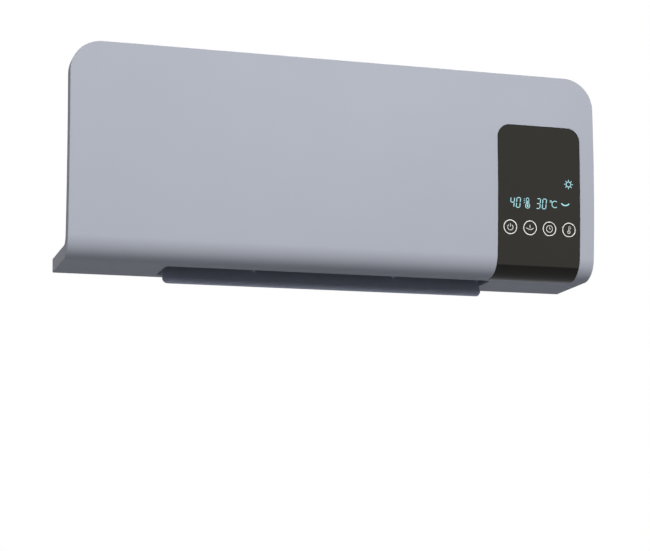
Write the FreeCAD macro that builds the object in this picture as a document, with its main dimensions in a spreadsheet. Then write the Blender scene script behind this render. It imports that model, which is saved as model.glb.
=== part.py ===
import FreeCAD, Part
import math
import os
import re
import Sketcher

# Electric wall heater: a bent front cover over a housing that hangs on a wall plate. A cross-flow fan draws
# air in at the top, blows it down through a heating element and out past a louver in the underside.
# X runs along the wall, Y into the wall and Z up. The origin is the middle of the wall plate's screw
# pattern, on the wall. Lengths are in millimetres and angles in degrees.

SIZES = {
    # Cover
    "cover_width": 520,
    "cover_height": 199,
    "depth": 96,
    "plate_height": 130,
    "corner_radius": 30,
    "crown_radius": 1350,
    "crown_height": 169,
    "bend_radius": 22,
    "cover_thick": 13.5,
    "skin": 2.5,
    "liner_thick": 2,
    "fit_gap": 0.2,
    "seat_gap": 0.1,
    "run_gap": 0.06,
    # Display lens and the board behind it
    "lens_width": 86.6,
    "lens_margin": 15.7,
    "lens_drop": 51,
    "lens_corner": 13,
    "lens_thick": 2,
    "lens_proud": 0.3,
    "lens_foot": 32.5,
    "lens_gap": 0.35,
    "window_ledge": 4,
    "window_height": 38,
    "board_thick": 1.6,
    "display_board_depth": 9.6,
    "display_board_height": 36.5,
    "display_board_tall": 75.5,
    "digits_height": 64,
    "digits_tall": 18,
    "touch_height": 50.5,
    "touch_pitch": 20.6,
    "touch_shift": 1.9,
    "touch_radius": 4.5,
    "infrared_size": 6,
    "infrared_tall": 3,
    "infrared_height": 98,
    "buzzer_radius": 4.5,
    "buzzer_tall": 2.2,
    "buzzer_height": 76,
    # Outlet and louver
    "outlet_inset": 3,
    "outlet_front": 40.5,
    "louver_end_gap": 2,
    "louver_chord": 40,
    "louver_thick": 2.4,
    "louver_corner": 5,
    "louver_gap": 1,
    "louver_open": 64,
    "pivot_depth": 62,
    "pivot_height": 12,
    "arm_offset": 71,
    "arm_thick": 3,
    "arm_radius": 4,
    "pin_radius": 2,
    "stub_radius": 2.5,
    "bush_radius": 5,
    "clip_gap": 0.7,
    "clip_thick": 2.5,
    # Housing and wall plate
    "side_inset": 22,
    "housing_drop": 12,
    "housing_corner": 18,
    "wall": 2.5,
    "rear_recess": 5,
    "plate_thick": 1.5,
    "plate_margin": 20.5,
    "plate_tall": 44,
    "plate_flange": 3.5,
    "plate_hole_radius": 2.75,
    "plate_hole_inset": 65,
    "plate_hole_up": 28,
    "hook_inset": 20,
    "hook_width": 16,
    "hook_reach": 10.5,
    "hook_tip": 9,
    "hook_drop": 5,
    "slot_gap": 1,
    "lift": 10,
    # Air duct and fan
    "cheek_thick": 2,
    "cheek_top": 160,
    "cheek_front": 26,
    "sheet": 1.5,
    "fan_depth": 54,
    "fan_height": 122,
    "fan_radius": 28,
    "fan_gap": 3.5,
    "fan_end_gap": 6,
    "fan_blades": 28,
    "blade_root": 21.5,
    "blade_camber": 8,
    "blade_thick": 0.9,
    "disc_thick": 2.5,
    "disc_count": 5,
    "hub_radius": 9,
    "hub_length": 14,
    "shaft_radius": 3,
    "tongue_mid": 33,
    "tongue_tip": 28,
    "tongue_top": 104,
    "tongue_knee": 80,
    "tongue_hip": 46,
    "tongue_ankle": 16,
    "scroll_lip": 16,
    "cheek_flange": 10,
    "cheek_screw_low": 35,
    "cheek_screw_high": 100,
    # Motor and bearing
    "motor_radius": 26,
    "motor_length": 38,
    "motor_boss_radius": 10,
    "motor_boss_length": 6,
    "lug_circle": 31,
    "lug_radius": 5,
    "lug_thick": 2,
    "mount_thick": 2,
    "bearing_radius": 7,
    "boot_radius": 12,
    "boot_flange": 3,
    # Heating element and guard
    "heater_height": 58,
    "heater_thick": 16,
    "heater_width": 51.4,
    "heater_cap": 15,
    "bar_width": 5.5,
    "fin_pitch": 4,
    "fin_thick": 0.6,
    "fin_edge": 0.8,
    "tab_width": 6,
    "tab_thick": 0.8,
    "tab_reach": 12,
    "cap_lip": 1,
    "cutout_radius": 7,
    "cutout_tall": 6,
    "guard_height": 36,
    "guard_thick": 5,
    "guard_rib": 2,
    "guard_pitch": 16,
    # Intake grille and vents
    "intake_inset": 16,
    "intake_front": 26,
    "intake_width": 56,
    "intake_slot": 3.6,
    "intake_pitch": 7,
    "intake_edge": 5,
    "flange_width": 3,
    "flange_thick": 1.5,
    "vent_slot": 3,
    "vent_pitch": 8,
    "vent_height": 92,
    "vent_count": 8,
    "vent_length": 44,
    # Power board
    "power_board_depth": 70,
    "power_board_height": 50,
    "power_board_tall": 105,
    "power_board_wide": 55,
    "power_board_edge": 3.75,
    "power_board_gap": 1,
    "post_radius": 3.5,
    "corner_post_radius": 4.5,
    "post_inset": 5,
    "ribbon_width": 12,
    "ribbon_thick": 0.8,
    "ribbon_height": 90,
    "plug_short": 2,
    "plug_long": 6,
    "plug_lip": 2,
    "relay_left": 8,
    "relay_pitch": 20.4,
    "relay_low": 73,
    "relay_width": 18.5,
    "relay_height": 16,
    "relay_tall": 15.5,
    "transformer_left": 12,
    "transformer_low": 45,
    "transformer_width": 28,
    "transformer_height": 26,
    "transformer_tall": 22,
    "block_left": 9,
    "block_low": 8,
    "block_width": 36,
    "block_height": 14,
    "block_tall": 14,
    "capacitor_left": 10,
    "capacitor_low": 33,
    "capacitor_radius": 6,
    "capacitor_tall": 24,
    # Louver motor
    "stepper_radius": 14,
    "stepper_length": 18.8,
    "stepper_offset": 8,
    "ear_span": 17.5,
    "ear_radius": 3.5,
    "ear_thick": 1,
    "stepper_nose": 4.5,
    # Mains switch and gland
    "switch_depth": 44,
    "switch_height": 62,
    "switch_tall": 19,
    "switch_wide": 13,
    "switch_deep": 21,
    "bezel_lip": 2,
    "bezel_thick": 1.5,
    "rocker_tilt": 9,
    "rocker_half": 7.4,
    "rocker_wide": 9.6,
    "rocker_pin": 1,
    "rocker_edge": 2.2,
    "rocker_crest": 3.4,
    "rocker_deep": 5,
    "rocker_toe": 2,
    "rocker_swing_gap": 0.7,
    "rocker_side_gap": 0.3,
    "gland_depth": 80,
    "gland_height": 40,
    "gland_radius": 6,
    "gland_bore": 3.6,
    "gland_flange": 8,
    "gland_flange_thick": 2.5,
    "gland_tail": 8,
    "gland_nut": 7.5,
    "gland_nut_thick": 4,
    "sensor_radius": 2,
    "sensor_length": 8,
    # Screws
    "screw_radius": 1.4,
    "screw_head": 2.8,
    "screw_head_thick": 1.8,
    "small_screw_radius": 1,
    "small_screw_head": 1.9,
    "small_screw_head_thick": 1.2,
    "lean_gap": 0.4,
    "boss_radius": 3.5,
    "cover_screw_inset": 12,
    "cover_screw_low": 60,
    "cover_screw_high": 150,
    "cover_screw_depth": 70,
    "cover_screw_bite": 5.5,
    "corner_post_low": 20,
    "housing_screw_bite": 9,
    "board_screw_bite": 6,
    "display_screw_length": 3.2,
}

# Places worked out from the sizes
PLACES = {
    "underside": "-plate_height",
    "roof": "underside + cover_height",
    "front": "-depth",
    "deck": "underside + cover_thick",
    "half_cover": "cover_width / 2",
    "crown_start": "underside + crown_height",
    "lens_right": "half_cover - lens_margin",
    "lens_left": "lens_right - lens_width",
    "lens_middle": "lens_right - lens_width / 2",
    "lens_top": "roof - lens_drop",
    "lens_back": "lens_thick - lens_proud",
    "liner_front": "cover_thick - liner_thick",
    "half_housing": "half_cover - side_inset",
    "housing_top": "roof - housing_drop",
    "rear_inside": "-rear_recess - wall",
    "side_inside": "half_housing - wall",
    "outlet_near": "front + outlet_front",
    "outlet_far": "fan_y + scroll_inside",
    "half_outlet": "half_duct - outlet_inset",
    "pivot_y": "front + pivot_depth",
    "pivot_z": "underside + pivot_height",
    "half_louver": "half_outlet - louver_end_gap",
    "half_duct": "power_left - power_board_edge - cheek_thick",
    "cheek_outside": "half_duct + cheek_thick",
    "duct_foot": "underside + skin + fit_gap",
    "fan_y": "front + fan_depth",
    "fan_z": "underside + fan_height",
    "half_fan": "half_duct - fan_end_gap",
    "blade_tip": "fan_radius - blade_thick",
    "scroll_inside": "fan_radius + fan_gap",
    "lug_face": "cheek_outside + mount_thick",
    "motor_face": "lug_face + lug_thick",
    "motor_back": "motor_face + motor_length",
    "motor_tail": "motor_back + motor_boss_length",
    "boot_face": "cheek_outside + boot_flange",
    "heater_y": "front + tongue_mid + fit_gap",
    "heater_z": "underside + heater_height",
    "half_fins": "half_duct - fit_gap - heater_cap",
    "fin_row": "(heater_width - 2 * bar_width) / 3",
    "bar_end": "half_fins + heater_cap - bar_width",
    "cap_top": "heater_z + heater_thick + cap_lip",
    "guard_z": "underside + guard_height",
    "tongue_lean": "(outlet_front - tongue_mid) / (tongue_hip - tongue_ankle)",
    "guard_near": "front + tongue_mid + tongue_lean * (tongue_hip - guard_height) + fit_gap",
    "guard_far": "outlet_far - fit_gap",
    "stepper_face": "cheek_outside + seat_gap",
    "stepper_end": "stepper_face + stepper_length / 2",
    "half_intake": "half_duct - intake_inset",
    "intake_y": "front + intake_front",
    "board_y": "front + display_board_depth",
    "board_back": "board_y + board_thick",
    "display_low": "underside + display_board_height",
    "display_high": "display_low + display_board_tall",
    "power_y": "front + power_board_depth",
    "corner_post_x": "half_housing - wall / 2 - corner_post_radius",
    "power_right": "corner_post_x - corner_post_radius - power_board_gap",
    "power_left": "power_right - power_board_wide",
    "power_low": "underside + power_board_height",
    "power_high": "power_low + power_board_tall",
    "half_plate": "side_inside - plate_margin",
    "plate_hole_x": "half_plate - plate_hole_inset",
    "hook_x": "half_plate - hook_inset",
    "hook_z": "-hook_drop",
    "switch_y": "front + switch_depth",
    "switch_z": "underside + switch_height",
    "rocker_reach": "rocker_wide / 2 + rocker_side_gap + rocker_pin",
    "gland_y": "front + gland_depth",
    "gland_z": "underside + gland_height",
    "cover_screw_x": "half_cover - cover_screw_inset",
}

doc = FreeCAD.newDocument("wall_heater")
sheet = doc.addObject("Spreadsheet::Sheet", "sizes")
for line, (alias, value) in enumerate(SIZES.items(), start=1):
    sheet.set(f"A{line}", alias)
    sheet.set(f"B{line}", str(value))
    sheet.setAlias(f"B{line}", alias)
doc.recompute()

NODES = []


def bound(text):
    """An expression with its places spelled out and its sizes read from the sheet."""
    def swap(match):
        word = match.group(0)
        if word in PLACES:
            return f"({bound(PLACES[word])})"
        return f"sizes.{word}" if word in SIZES else word
    return re.sub(r"[a-z_]+", swap, str(text))


def number(text):
    """The present value of an expression."""
    return float(sheet.evalExpression(bound(text)))


def bind(thing, **properties):
    """Ties properties of a document object to expressions. A double underscore stands for a dot."""
    for name, text in properties.items():
        thing.setExpression(name.replace("__", "."), bound(text))
    return thing


def node(thing, name):
    """Names a finished sub-part, which gets a file of its own."""
    thing.Label = name
    NODES.append(thing)
    return thing


def crown(height):
    """How far the cover's outer face lies behind its crest at a height below the crown's start."""
    return f"(crown_radius - sqrt(crown_radius ^ 2 - (crown_start - ({height})) ^ 2))"


# Solids and booleans

def block(name, x, y, z):
    """A box between a low and a high expression along each axis."""
    box = doc.addObject("Part::Box", name)
    bind(box, Length=f"({x[1]}) - ({x[0]})", Width=f"({y[1]}) - ({y[0]})", Height=f"({z[1]}) - ({z[0]})")
    return bind(box, Placement__Base__x=x[0], Placement__Base__y=y[0], Placement__Base__z=z[0])


TURN = {
    "x": FreeCAD.Rotation(FreeCAD.Vector(0, 1, 0), 90),
    "y": FreeCAD.Rotation(FreeCAD.Vector(1, 0, 0), -90),
    "z": FreeCAD.Rotation(),
}


def rod(name, axis, radius, along, centre):
    """A round bar along an axis, between two places on it, centred on the other two coordinates in order."""
    bar = doc.addObject("Part::Cylinder", name)
    bar.Placement = FreeCAD.Placement(FreeCAD.Vector(), TURN[axis])
    bind(bar, Radius=radius, Height=f"({along[1]}) - ({along[0]})")
    base = dict(zip("xyz".replace(axis, ""), centre))
    base[axis] = along[0]
    return bind(bar, Placement__Base__x=base["x"], Placement__Base__y=base["y"], Placement__Base__z=base["z"])


def group(name, things):
    """Separate solids kept together."""
    kept = doc.addObject("Part::Compound", name)
    kept.Links = list(things)
    return kept


def fuse(name, *things):
    joined = doc.addObject("Part::MultiFuse", name)
    joined.Shapes = list(things)
    joined.Refine = True
    return joined


def cut(name, base, *tools):
    tool = tools[0] if len(tools) == 1 else fuse(f"{name}_tools", *tools)
    left = doc.addObject("Part::Cut", name)
    left.Base = base
    left.Tool = tool
    left.Refine = True
    return left


def common(name, one, other):
    shared = doc.addObject("Part::Common", name)
    shared.Base = one
    shared.Tool = other
    return shared


def screw(name, axis, seat, toward, length, centre, size="screw"):
    """A screw whose head sits on a seat and whose shank runs up (1) or down (-1) the axis."""
    tip = f"({seat}) + {toward} * ({length})"
    crest = f"({seat}) - {toward} * {size}_head_thick"
    order = (lambda a, b: (a, b)) if toward > 0 else (lambda a, b: (b, a))
    shank = rod(f"{name}_shank", axis, f"{size}_radius", order(seat, tip), centre)
    head = rod(f"{name}_head", axis, f"{size}_head", order(crest, seat), centre)
    return fuse(name, shank, head)


# Bodies drawn as sketches

def origin_part(body, role):
    return next(item for item in body.Origin.OriginFeatures if item.Role == role)


def plane_sketch(body, name, role="YZ_Plane", offset="0"):
    """A sketch on one of a body's origin planes, moved along the plane's normal."""
    sketch = body.newObject("Sketcher::SketchObject", name)
    sketch.AttachmentSupport = (origin_part(body, role), [""])
    sketch.MapMode = "FlatFace"
    return bind(sketch, AttachmentOffset__Base__z=offset)


def dimension(sketch, kind, where, text):
    """A driving dimension of a sketch, tied to an expression."""
    index = sketch.addConstraint(Sketcher.Constraint(kind, *where, number(text)))
    name = f"size_{index}"
    sketch.renameConstraint(index, name)
    sketch.setExpression(f"Constraints.{name}", bound(text))


def pad(body, name, sketch, length, symmetric=False):
    feature = body.newObject("PartDesign::Pad", name)
    feature.Profile = sketch
    if symmetric:
        feature.SideType = "Symmetric"
    return bind(feature, Length=length)


def round_edges(body, name, base, radius, chosen):
    """Rounds the edges of a feature that a test picks by their end points."""
    doc.recompute()
    names = []
    for index, edge in enumerate(base.Shape.Edges, start=1):
        if chosen(edge.Vertexes[0].Point, edge.Vertexes[-1].Point):
            names.append(f"Edge{index}")
    feature = body.newObject("PartDesign::Fillet", name)
    feature.Base = (base, names)
    body.Tip = feature
    return bind(feature, Radius=radius)


def near(one, other):
    return abs(one - other) < 1e-4


def solid_box(body, name, kind, x, y, z):
    """A box feature that adds to or takes from a body."""
    box = body.newObject(f"PartDesign::{kind}Box", name)
    bind(box, Length=f"({x[1]}) - ({x[0]})", Width=f"({y[1]}) - ({y[0]})", Height=f"({z[1]}) - ({z[0]})")
    return bind(box, Placement__Base__x=x[0], Placement__Base__y=y[0], Placement__Base__z=z[0])


def rounded_block(name, x, y, z, radius, along="y", upper_only=True):
    """A box whose edges along an axis are rounded: all four, or the two at its top."""
    body = doc.addObject("PartDesign::Body", name)
    box = solid_box(body, f"{name}_box", "Additive", x, y, z)
    top = number(z[1])
    others = "xyz".replace(along, "")

    def chosen(start, end):
        runs_along = all(near(getattr(start, axis), getattr(end, axis)) for axis in others)
        return runs_along and (not upper_only or near(start.z, top))
    round_edges(body, f"{name}_round", box, radius, chosen)
    return body


def row_of_cuts(body, name, first, pitch, count):
    """Repeats a box cut along X."""
    doc.recompute()
    feature = body.newObject("PartDesign::LinearPattern", name)
    feature.Originals = [first]
    feature.Direction = (origin_part(body, "X_Axis"), [""])
    bind(feature, Length=f"({pitch}) * (({count}) - 1)", Occurrences=count)
    body.Tip = feature
    return feature


def outline_pad(name, points, width, role="YZ_Plane"):
    """A polygon on an origin plane, given by its corners, drawn out to both sides of that plane."""
    body = doc.addObject("PartDesign::Body", name)
    sketch = plane_sketch(body, f"{name}_outline", role)
    corners = [FreeCAD.Vector(number(y), number(z), 0) for y, z in points]
    count = len(points)
    for index in range(count):
        sketch.addGeometry(Part.LineSegment(corners[index], corners[(index + 1) % count]))
    for index in range(count):
        sketch.addConstraint(Sketcher.Constraint("Coincident", index, 2, (index + 1) % count, 1))
    for index, (y, z) in enumerate(points):
        dimension(sketch, "DistanceX", (-1, 1, index, 1), y)
        dimension(sketch, "DistanceY", (-1, 1, index, 1), z)
    pad(body, f"{name}_pad", sketch, width, symmetric=True)
    return body


def bent_panel(name, outer, inner, width, top, rear, corner=None):
    """The cover's bent section between two depths below its outer face: front, crown, bend and underside."""
    body = doc.addObject("PartDesign::Body", name)
    sketch = plane_sketch(body, f"{name}_outline")
    crown_y, crown_z = number("front + crown_radius"), number("crown_start")
    bend_z = number("underside + bend_radius")
    reach = number("crown_radius - bend_radius")
    bend_y = crown_y - (reach ** 2 - (crown_z - bend_z) ** 2) ** 0.5
    lean = FreeCAD.Vector(bend_y - crown_y, bend_z - crown_z, 0) / reach
    middle = FreeCAD.Vector(crown_y, crown_z, 0)
    normal = FreeCAD.Vector(0, 0, 1)
    face = {}
    for key, offset in (("out", number(outer)), ("in", number(inner))):
        face[key, "crown"] = number("crown_radius") - offset
        face[key, "bend"] = number("bend_radius") - offset
        face[key, "y"] = number("front") + offset
        face[key, "z"] = number("underside") + offset
        face[key, "meet"] = middle + lean * face[key, "crown"]
    top_z, rear_y = number(top), number(rear)
    turn = math.pi
    meet_angle = turn + FreeCAD.Vector(-1, 0, 0).getAngle(lean)

    def line(start, end):
        sketch.addGeometry(Part.LineSegment(FreeCAD.Vector(*start, 0), FreeCAD.Vector(*end, 0)))

    def arc(centre, radius, start, end):
        sketch.addGeometry(Part.ArcOfCircle(Part.Circle(centre, normal, radius), start, end))

    bend = FreeCAD.Vector(bend_y, bend_z, 0)
    line((face["out", "y"], top_z), (face["out", "y"], crown_z))
    arc(middle, face["out", "crown"], turn, meet_angle)
    arc(bend, face["out", "bend"], meet_angle, 1.5 * turn)
    line((bend_y, face["out", "z"]), (rear_y, face["out", "z"]))
    line((rear_y, face["out", "z"]), (rear_y, face["in", "z"]))
    line((rear_y, face["in", "z"]), (bend_y, face["in", "z"]))
    arc(bend, face["in", "bend"], meet_angle, 1.5 * turn)
    arc(middle, face["in", "crown"], turn, meet_angle)
    line((face["in", "y"], crown_z), (face["in", "y"], top_z))
    line((face["in", "y"], top_z), (face["out", "y"], top_z))
    spoke = sketch.addGeometry(Part.LineSegment(middle, face["out", "meet"]), True)

    for kind, links in {
        "Tangent": ((0, 2, 1, 1), (2, 2, 3, 1), (5, 2, 6, 2), (7, 1, 8, 1)),
        "Coincident": ((1, 2, 2, 1), (3, 2, 4, 1), (4, 2, 5, 1), (6, 1, 7, 2), (8, 2, 9, 1), (9, 2, 0, 1),
                       (1, 3, 7, 3), (2, 3, 6, 3), (spoke, 1, 1, 3), (spoke, 2, 1, 2)),
        "PointOnObject": ((2, 3, spoke), (6, 1, spoke)),
        "Vertical": ((0,), (4,), (8,)),
        "Horizontal": ((3,), (5,), (9,)),
    }.items():
        for link in links:
            sketch.addConstraint(Sketcher.Constraint(kind, *link))
    dimension(sketch, "Radius", (1,), f"crown_radius - ({outer})")
    dimension(sketch, "Radius", (2,), f"bend_radius - ({outer})")
    dimension(sketch, "Radius", (7,), f"crown_radius - ({inner})")
    dimension(sketch, "DistanceX", (-1, 1, 1, 3), "front + crown_radius")
    dimension(sketch, "DistanceY", (-1, 1, 1, 3), "crown_start")
    dimension(sketch, "DistanceX", (-1, 1, 3, 2), rear)
    dimension(sketch, "DistanceY", (-1, 1, 3, 2), f"underside + ({outer})")
    dimension(sketch, "DistanceY", (-1, 1, 0, 1), top)
    base = pad(body, f"{name}_pad", sketch, width, symmetric=True)
    if corner:
        half = number(width) / 2

        def chosen(start, end):
            at_side = near(abs(start.x), half) and near(start.x, end.x)
            return at_side and near(start.z, top_z) and near(end.z, top_z)
        round_edges(body, f"{name}_corners", base, corner, chosen)
    return body


def span(sign, low, high):
    """A range along X on the right side, or on the left side with a minus sign."""
    return (low, high) if sign == "" else (f"-({high})", f"-({low})")


def across(half):
    """A range along X that is even about the middle."""
    return (f"-({half})", half)


def around(middle, half):
    return (f"({middle}) - ({half})", f"({middle}) + ({half})")


SIDES = (("right", ""), ("left", "-"))

# Where the screws stand: the cover's along its side margins, the housing's in its corner posts
COVER_SCREWS = [(f"{side}_{level}", f"{sign}cover_screw_x", f"underside + cover_screw_{level}")
                for side, sign in SIDES for level in ("low", "high")]
HOUSING_SCREWS = [(f"{side}_{level}", f"{sign}corner_post_x", height)
                  for side, sign in SIDES
                  for level, height in (("low", "underside + corner_post_low"),
                                        ("high", "housing_top - housing_corner"))]
DISPLAY_SCREWS = [(f"{side}_{level}", x, height)
                  for side, x in (("left", "lens_left + window_ledge + post_inset"),
                                  ("right", "lens_right - window_ledge - post_inset"))
                  for level, height in (("low", "display_low + post_inset"),
                                        ("high", "display_high - post_inset"))]
POWER_SCREWS = [(f"{side}_{level}", x, height)
                for side, x in (("left", "power_left + post_inset"), ("right", "power_right - post_inset"))
                for level, height in (("low", "power_low + post_inset"), ("high", "power_high - post_inset"))]
CHEEK_SCREWS = [(f"{side}_{level}", sign, f"underside + cheek_screw_{level}")
                for side, sign in SIDES for level in ("low", "high")]
LUGS = [("top", "0", "1"), ("near", "-sqrt(3) / 2", "-1 / 2"), ("far", "sqrt(3) / 2", "-1 / 2")]


def lug_centre(across_share, up_share):
    return (f"fan_y + lug_circle * {across_share}", f"fan_z + lug_circle * {up_share}")


# Front cover: a moulded skin with a rim all round, recessed for the lens and cut through for the outlet

def front_cover():
    solid = bent_panel("cover_solid", "0", "cover_thick", "cover_width", "roof", "0", "corner_radius")
    hollow = bent_panel("cover_hollow", "skin", "cover_thick + seat_gap", "cover_width - 2 * skin",
                        "roof - skin", "-skin", "corner_radius - skin")
    shell = cut("cover_shell", solid, hollow)
    bosses = []
    holes = []
    for name, x, height in COVER_SCREWS:
        lean = crown(height)
        ends = (f"front + skin / 2 + {lean}", f"front + liner_front - lean_gap + {lean}")
        bosses.append(rod(f"cover_boss_{name}", "y", "boss_radius", ends, (x, height)))
        ends = (f"front + liner_front - cover_screw_bite - lean_gap + {lean}",
                f"front + cover_thick + {lean}")
        holes.append(rod(f"cover_boss_hole_{name}", "y", "screw_radius", ends, (x, height)))
    for side, sign in SIDES:
        centre = (f"{sign}cover_screw_x", "front + cover_screw_depth")
        ends = ("underside + skin / 2", "underside + liner_front - seat_gap")
        bosses.append(rod(f"cover_boss_{side}_floor", "z", "boss_radius", ends, centre))
        ends = ("underside + liner_front - cover_screw_bite - seat_gap", "deck")
        holes.append(rod(f"cover_boss_hole_{side}_floor", "z", "screw_radius", ends, centre))
    recess_panel = bent_panel("recess_panel", "-lens_thick", "lens_back + seat_gap", "cover_width", "roof",
                              "front + 2 * lens_foot")
    recess_block = rounded_block("recess_block", ("lens_left - lens_gap", "lens_right + lens_gap"),
                                 ("front - 2 * lens_thick", "front + lens_foot + lens_gap"),
                                 ("underside - 2 * lens_thick", "lens_top + lens_gap"),
                                 "lens_corner + lens_gap")
    window = block("cover_window", ("lens_left + window_ledge", "lens_right - window_ledge"),
                   ("front - lens_thick", "board_y"),
                   ("underside + window_height", "lens_top - window_ledge"))
    outlet = rounded_block("cover_outlet", across("half_outlet"), ("outlet_near", "outlet_far"),
                           ("underside - skin", "underside + 2 * skin"), "louver_corner", "z",
                           upper_only=False)
    recess = common("cover_recess", recess_panel, recess_block)
    body = fuse("cover_with_bosses", shell, *bosses)
    return cut("front_cover", body, recess, window, outlet, *holes)


node(front_cover(), "front_cover")


# Display lens: a dark moulded strip that follows the crown and the bend

def display_lens():
    panel = bent_panel("lens_panel", "-lens_proud", "lens_back", "cover_width", "roof",
                       "front + 2 * lens_foot")
    outline = rounded_block("lens_block", ("lens_left", "lens_right"),
                            ("front - lens_thick", "front + lens_foot"),
                            ("underside - lens_thick", "lens_top"), "lens_corner")
    return common("display_lens", panel, outline)


node(display_lens(), "display_lens")


# Cover liner: the inner panel that closes the cover and carries the display board

def cover_liner():
    panel = bent_panel("liner_panel", "liner_front", "cover_thick", "cover_width - 2 * skin - 2 * fit_gap",
                       "roof - skin - fit_gap", "-skin - fit_gap", "corner_radius - skin - fit_gap")
    posts = []
    cuts = [
        block("liner_duct_cut", across("cheek_outside + fit_gap"),
              ("outlet_near - sheet - fit_gap", "outlet_far + sheet + fit_gap"),
              ("underside + skin", "deck + skin")),
        block("liner_stepper_cut", ("cheek_outside", "cheek_outside + stepper_length + 2 * fit_gap"),
              around("pivot_y", "stepper_radius + fit_gap"), ("underside + skin", "deck + skin")),
        block("liner_ribbon_cut", around("lens_middle", "ribbon_width / 2 + fit_gap"), ("front", "pivot_y"),
              around("underside + ribbon_height", "ribbon_thick / 2 + fit_gap")),
    ]
    for name, x, height in DISPLAY_SCREWS:
        lean = crown(height)
        posts.append(rod(f"display_post_{name}", "y", "post_radius",
                         ("board_back", f"front + liner_front + liner_thick / 2 + {lean}"), (x, height)))
        cuts.append(rod(f"display_post_hole_{name}", "y", "small_screw_radius",
                        ("board_y", "board_y + display_screw_length"), (x, height)))
    for name, x, height in COVER_SCREWS + HOUSING_SCREWS:
        ends = ("front + skin", f"front + 2 * cover_thick + {crown(height)}")
        cuts.append(rod(f"liner_hole_{name}_{len(cuts)}", "y", "screw_radius + fit_gap", ends, (x, height)))
    for side, sign in SIDES:
        cuts.append(rod(f"liner_hole_{side}_floor", "z", "screw_radius + fit_gap",
                        ("underside + skin", "deck + skin"),
                        (f"{sign}cover_screw_x", "front + cover_screw_depth")))
    return cut("cover_liner", fuse("liner_with_posts", panel, *posts), *cuts)


node(cover_liner(), "cover_liner")


# Display board and what stands on it

def display_board():
    plain = block("display_board_plain", ("lens_left + window_ledge", "lens_right - window_ledge"),
                  ("board_y", "board_back"), ("display_low", "display_high"))
    holes = [rod(f"display_board_hole_{name}", "y", "small_screw_radius + seat_gap", ("front", "pivot_y"),
                 (x, height)) for name, x, height in DISPLAY_SCREWS]
    return cut("display_board", plain, *holes)


node(display_board(), "display_board")

node(block("digit_display", ("lens_left + 2 * window_ledge", "lens_right - 2 * window_ledge"),
           (f"front + lens_back + lean_gap + {crown('underside + digits_height')}", "board_y"),
           ("underside + digits_height", "underside + digits_height + digits_tall")), "digit_display")

TOUCH_COUNT = 4


def touch_post(index):
    x = f"lens_middle + touch_shift + touch_pitch * {index - (TOUCH_COUNT - 1) / 2}"
    top = f"front + lens_back + lean_gap + {crown('underside + touch_height')}"
    return rod(f"touch_post_{index}", "y", "touch_radius", (top, "board_y"), (x, "underside + touch_height"))


node(group("touch_posts", [touch_post(index) for index in range(TOUCH_COUNT)]), "touch_posts")

node(group("display_screws", [screw(f"display_screw_{name}", "y", "board_y", 1, "display_screw_length",
                                    (x, height), "small_screw")
                              for name, x, height in DISPLAY_SCREWS]), "display_screws")


node(block("infrared_receiver", around("lens_left + 3 * window_ledge", "infrared_size / 2"),
           ("board_y - infrared_tall", "board_y"),
           around("underside + infrared_height", "infrared_size / 2")), "infrared_receiver")

node(rod("buzzer", "y", "buzzer_radius", ("board_back", "board_back + buzzer_tall"),
         ("lens_right - window_ledge - post_inset - 2 * buzzer_radius", "underside + buzzer_height")),
     "buzzer")


# Rear housing: the moulded box that carries everything, set back from the wall inside its rim

VENT_COUNT = SIZES["vent_count"]


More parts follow.
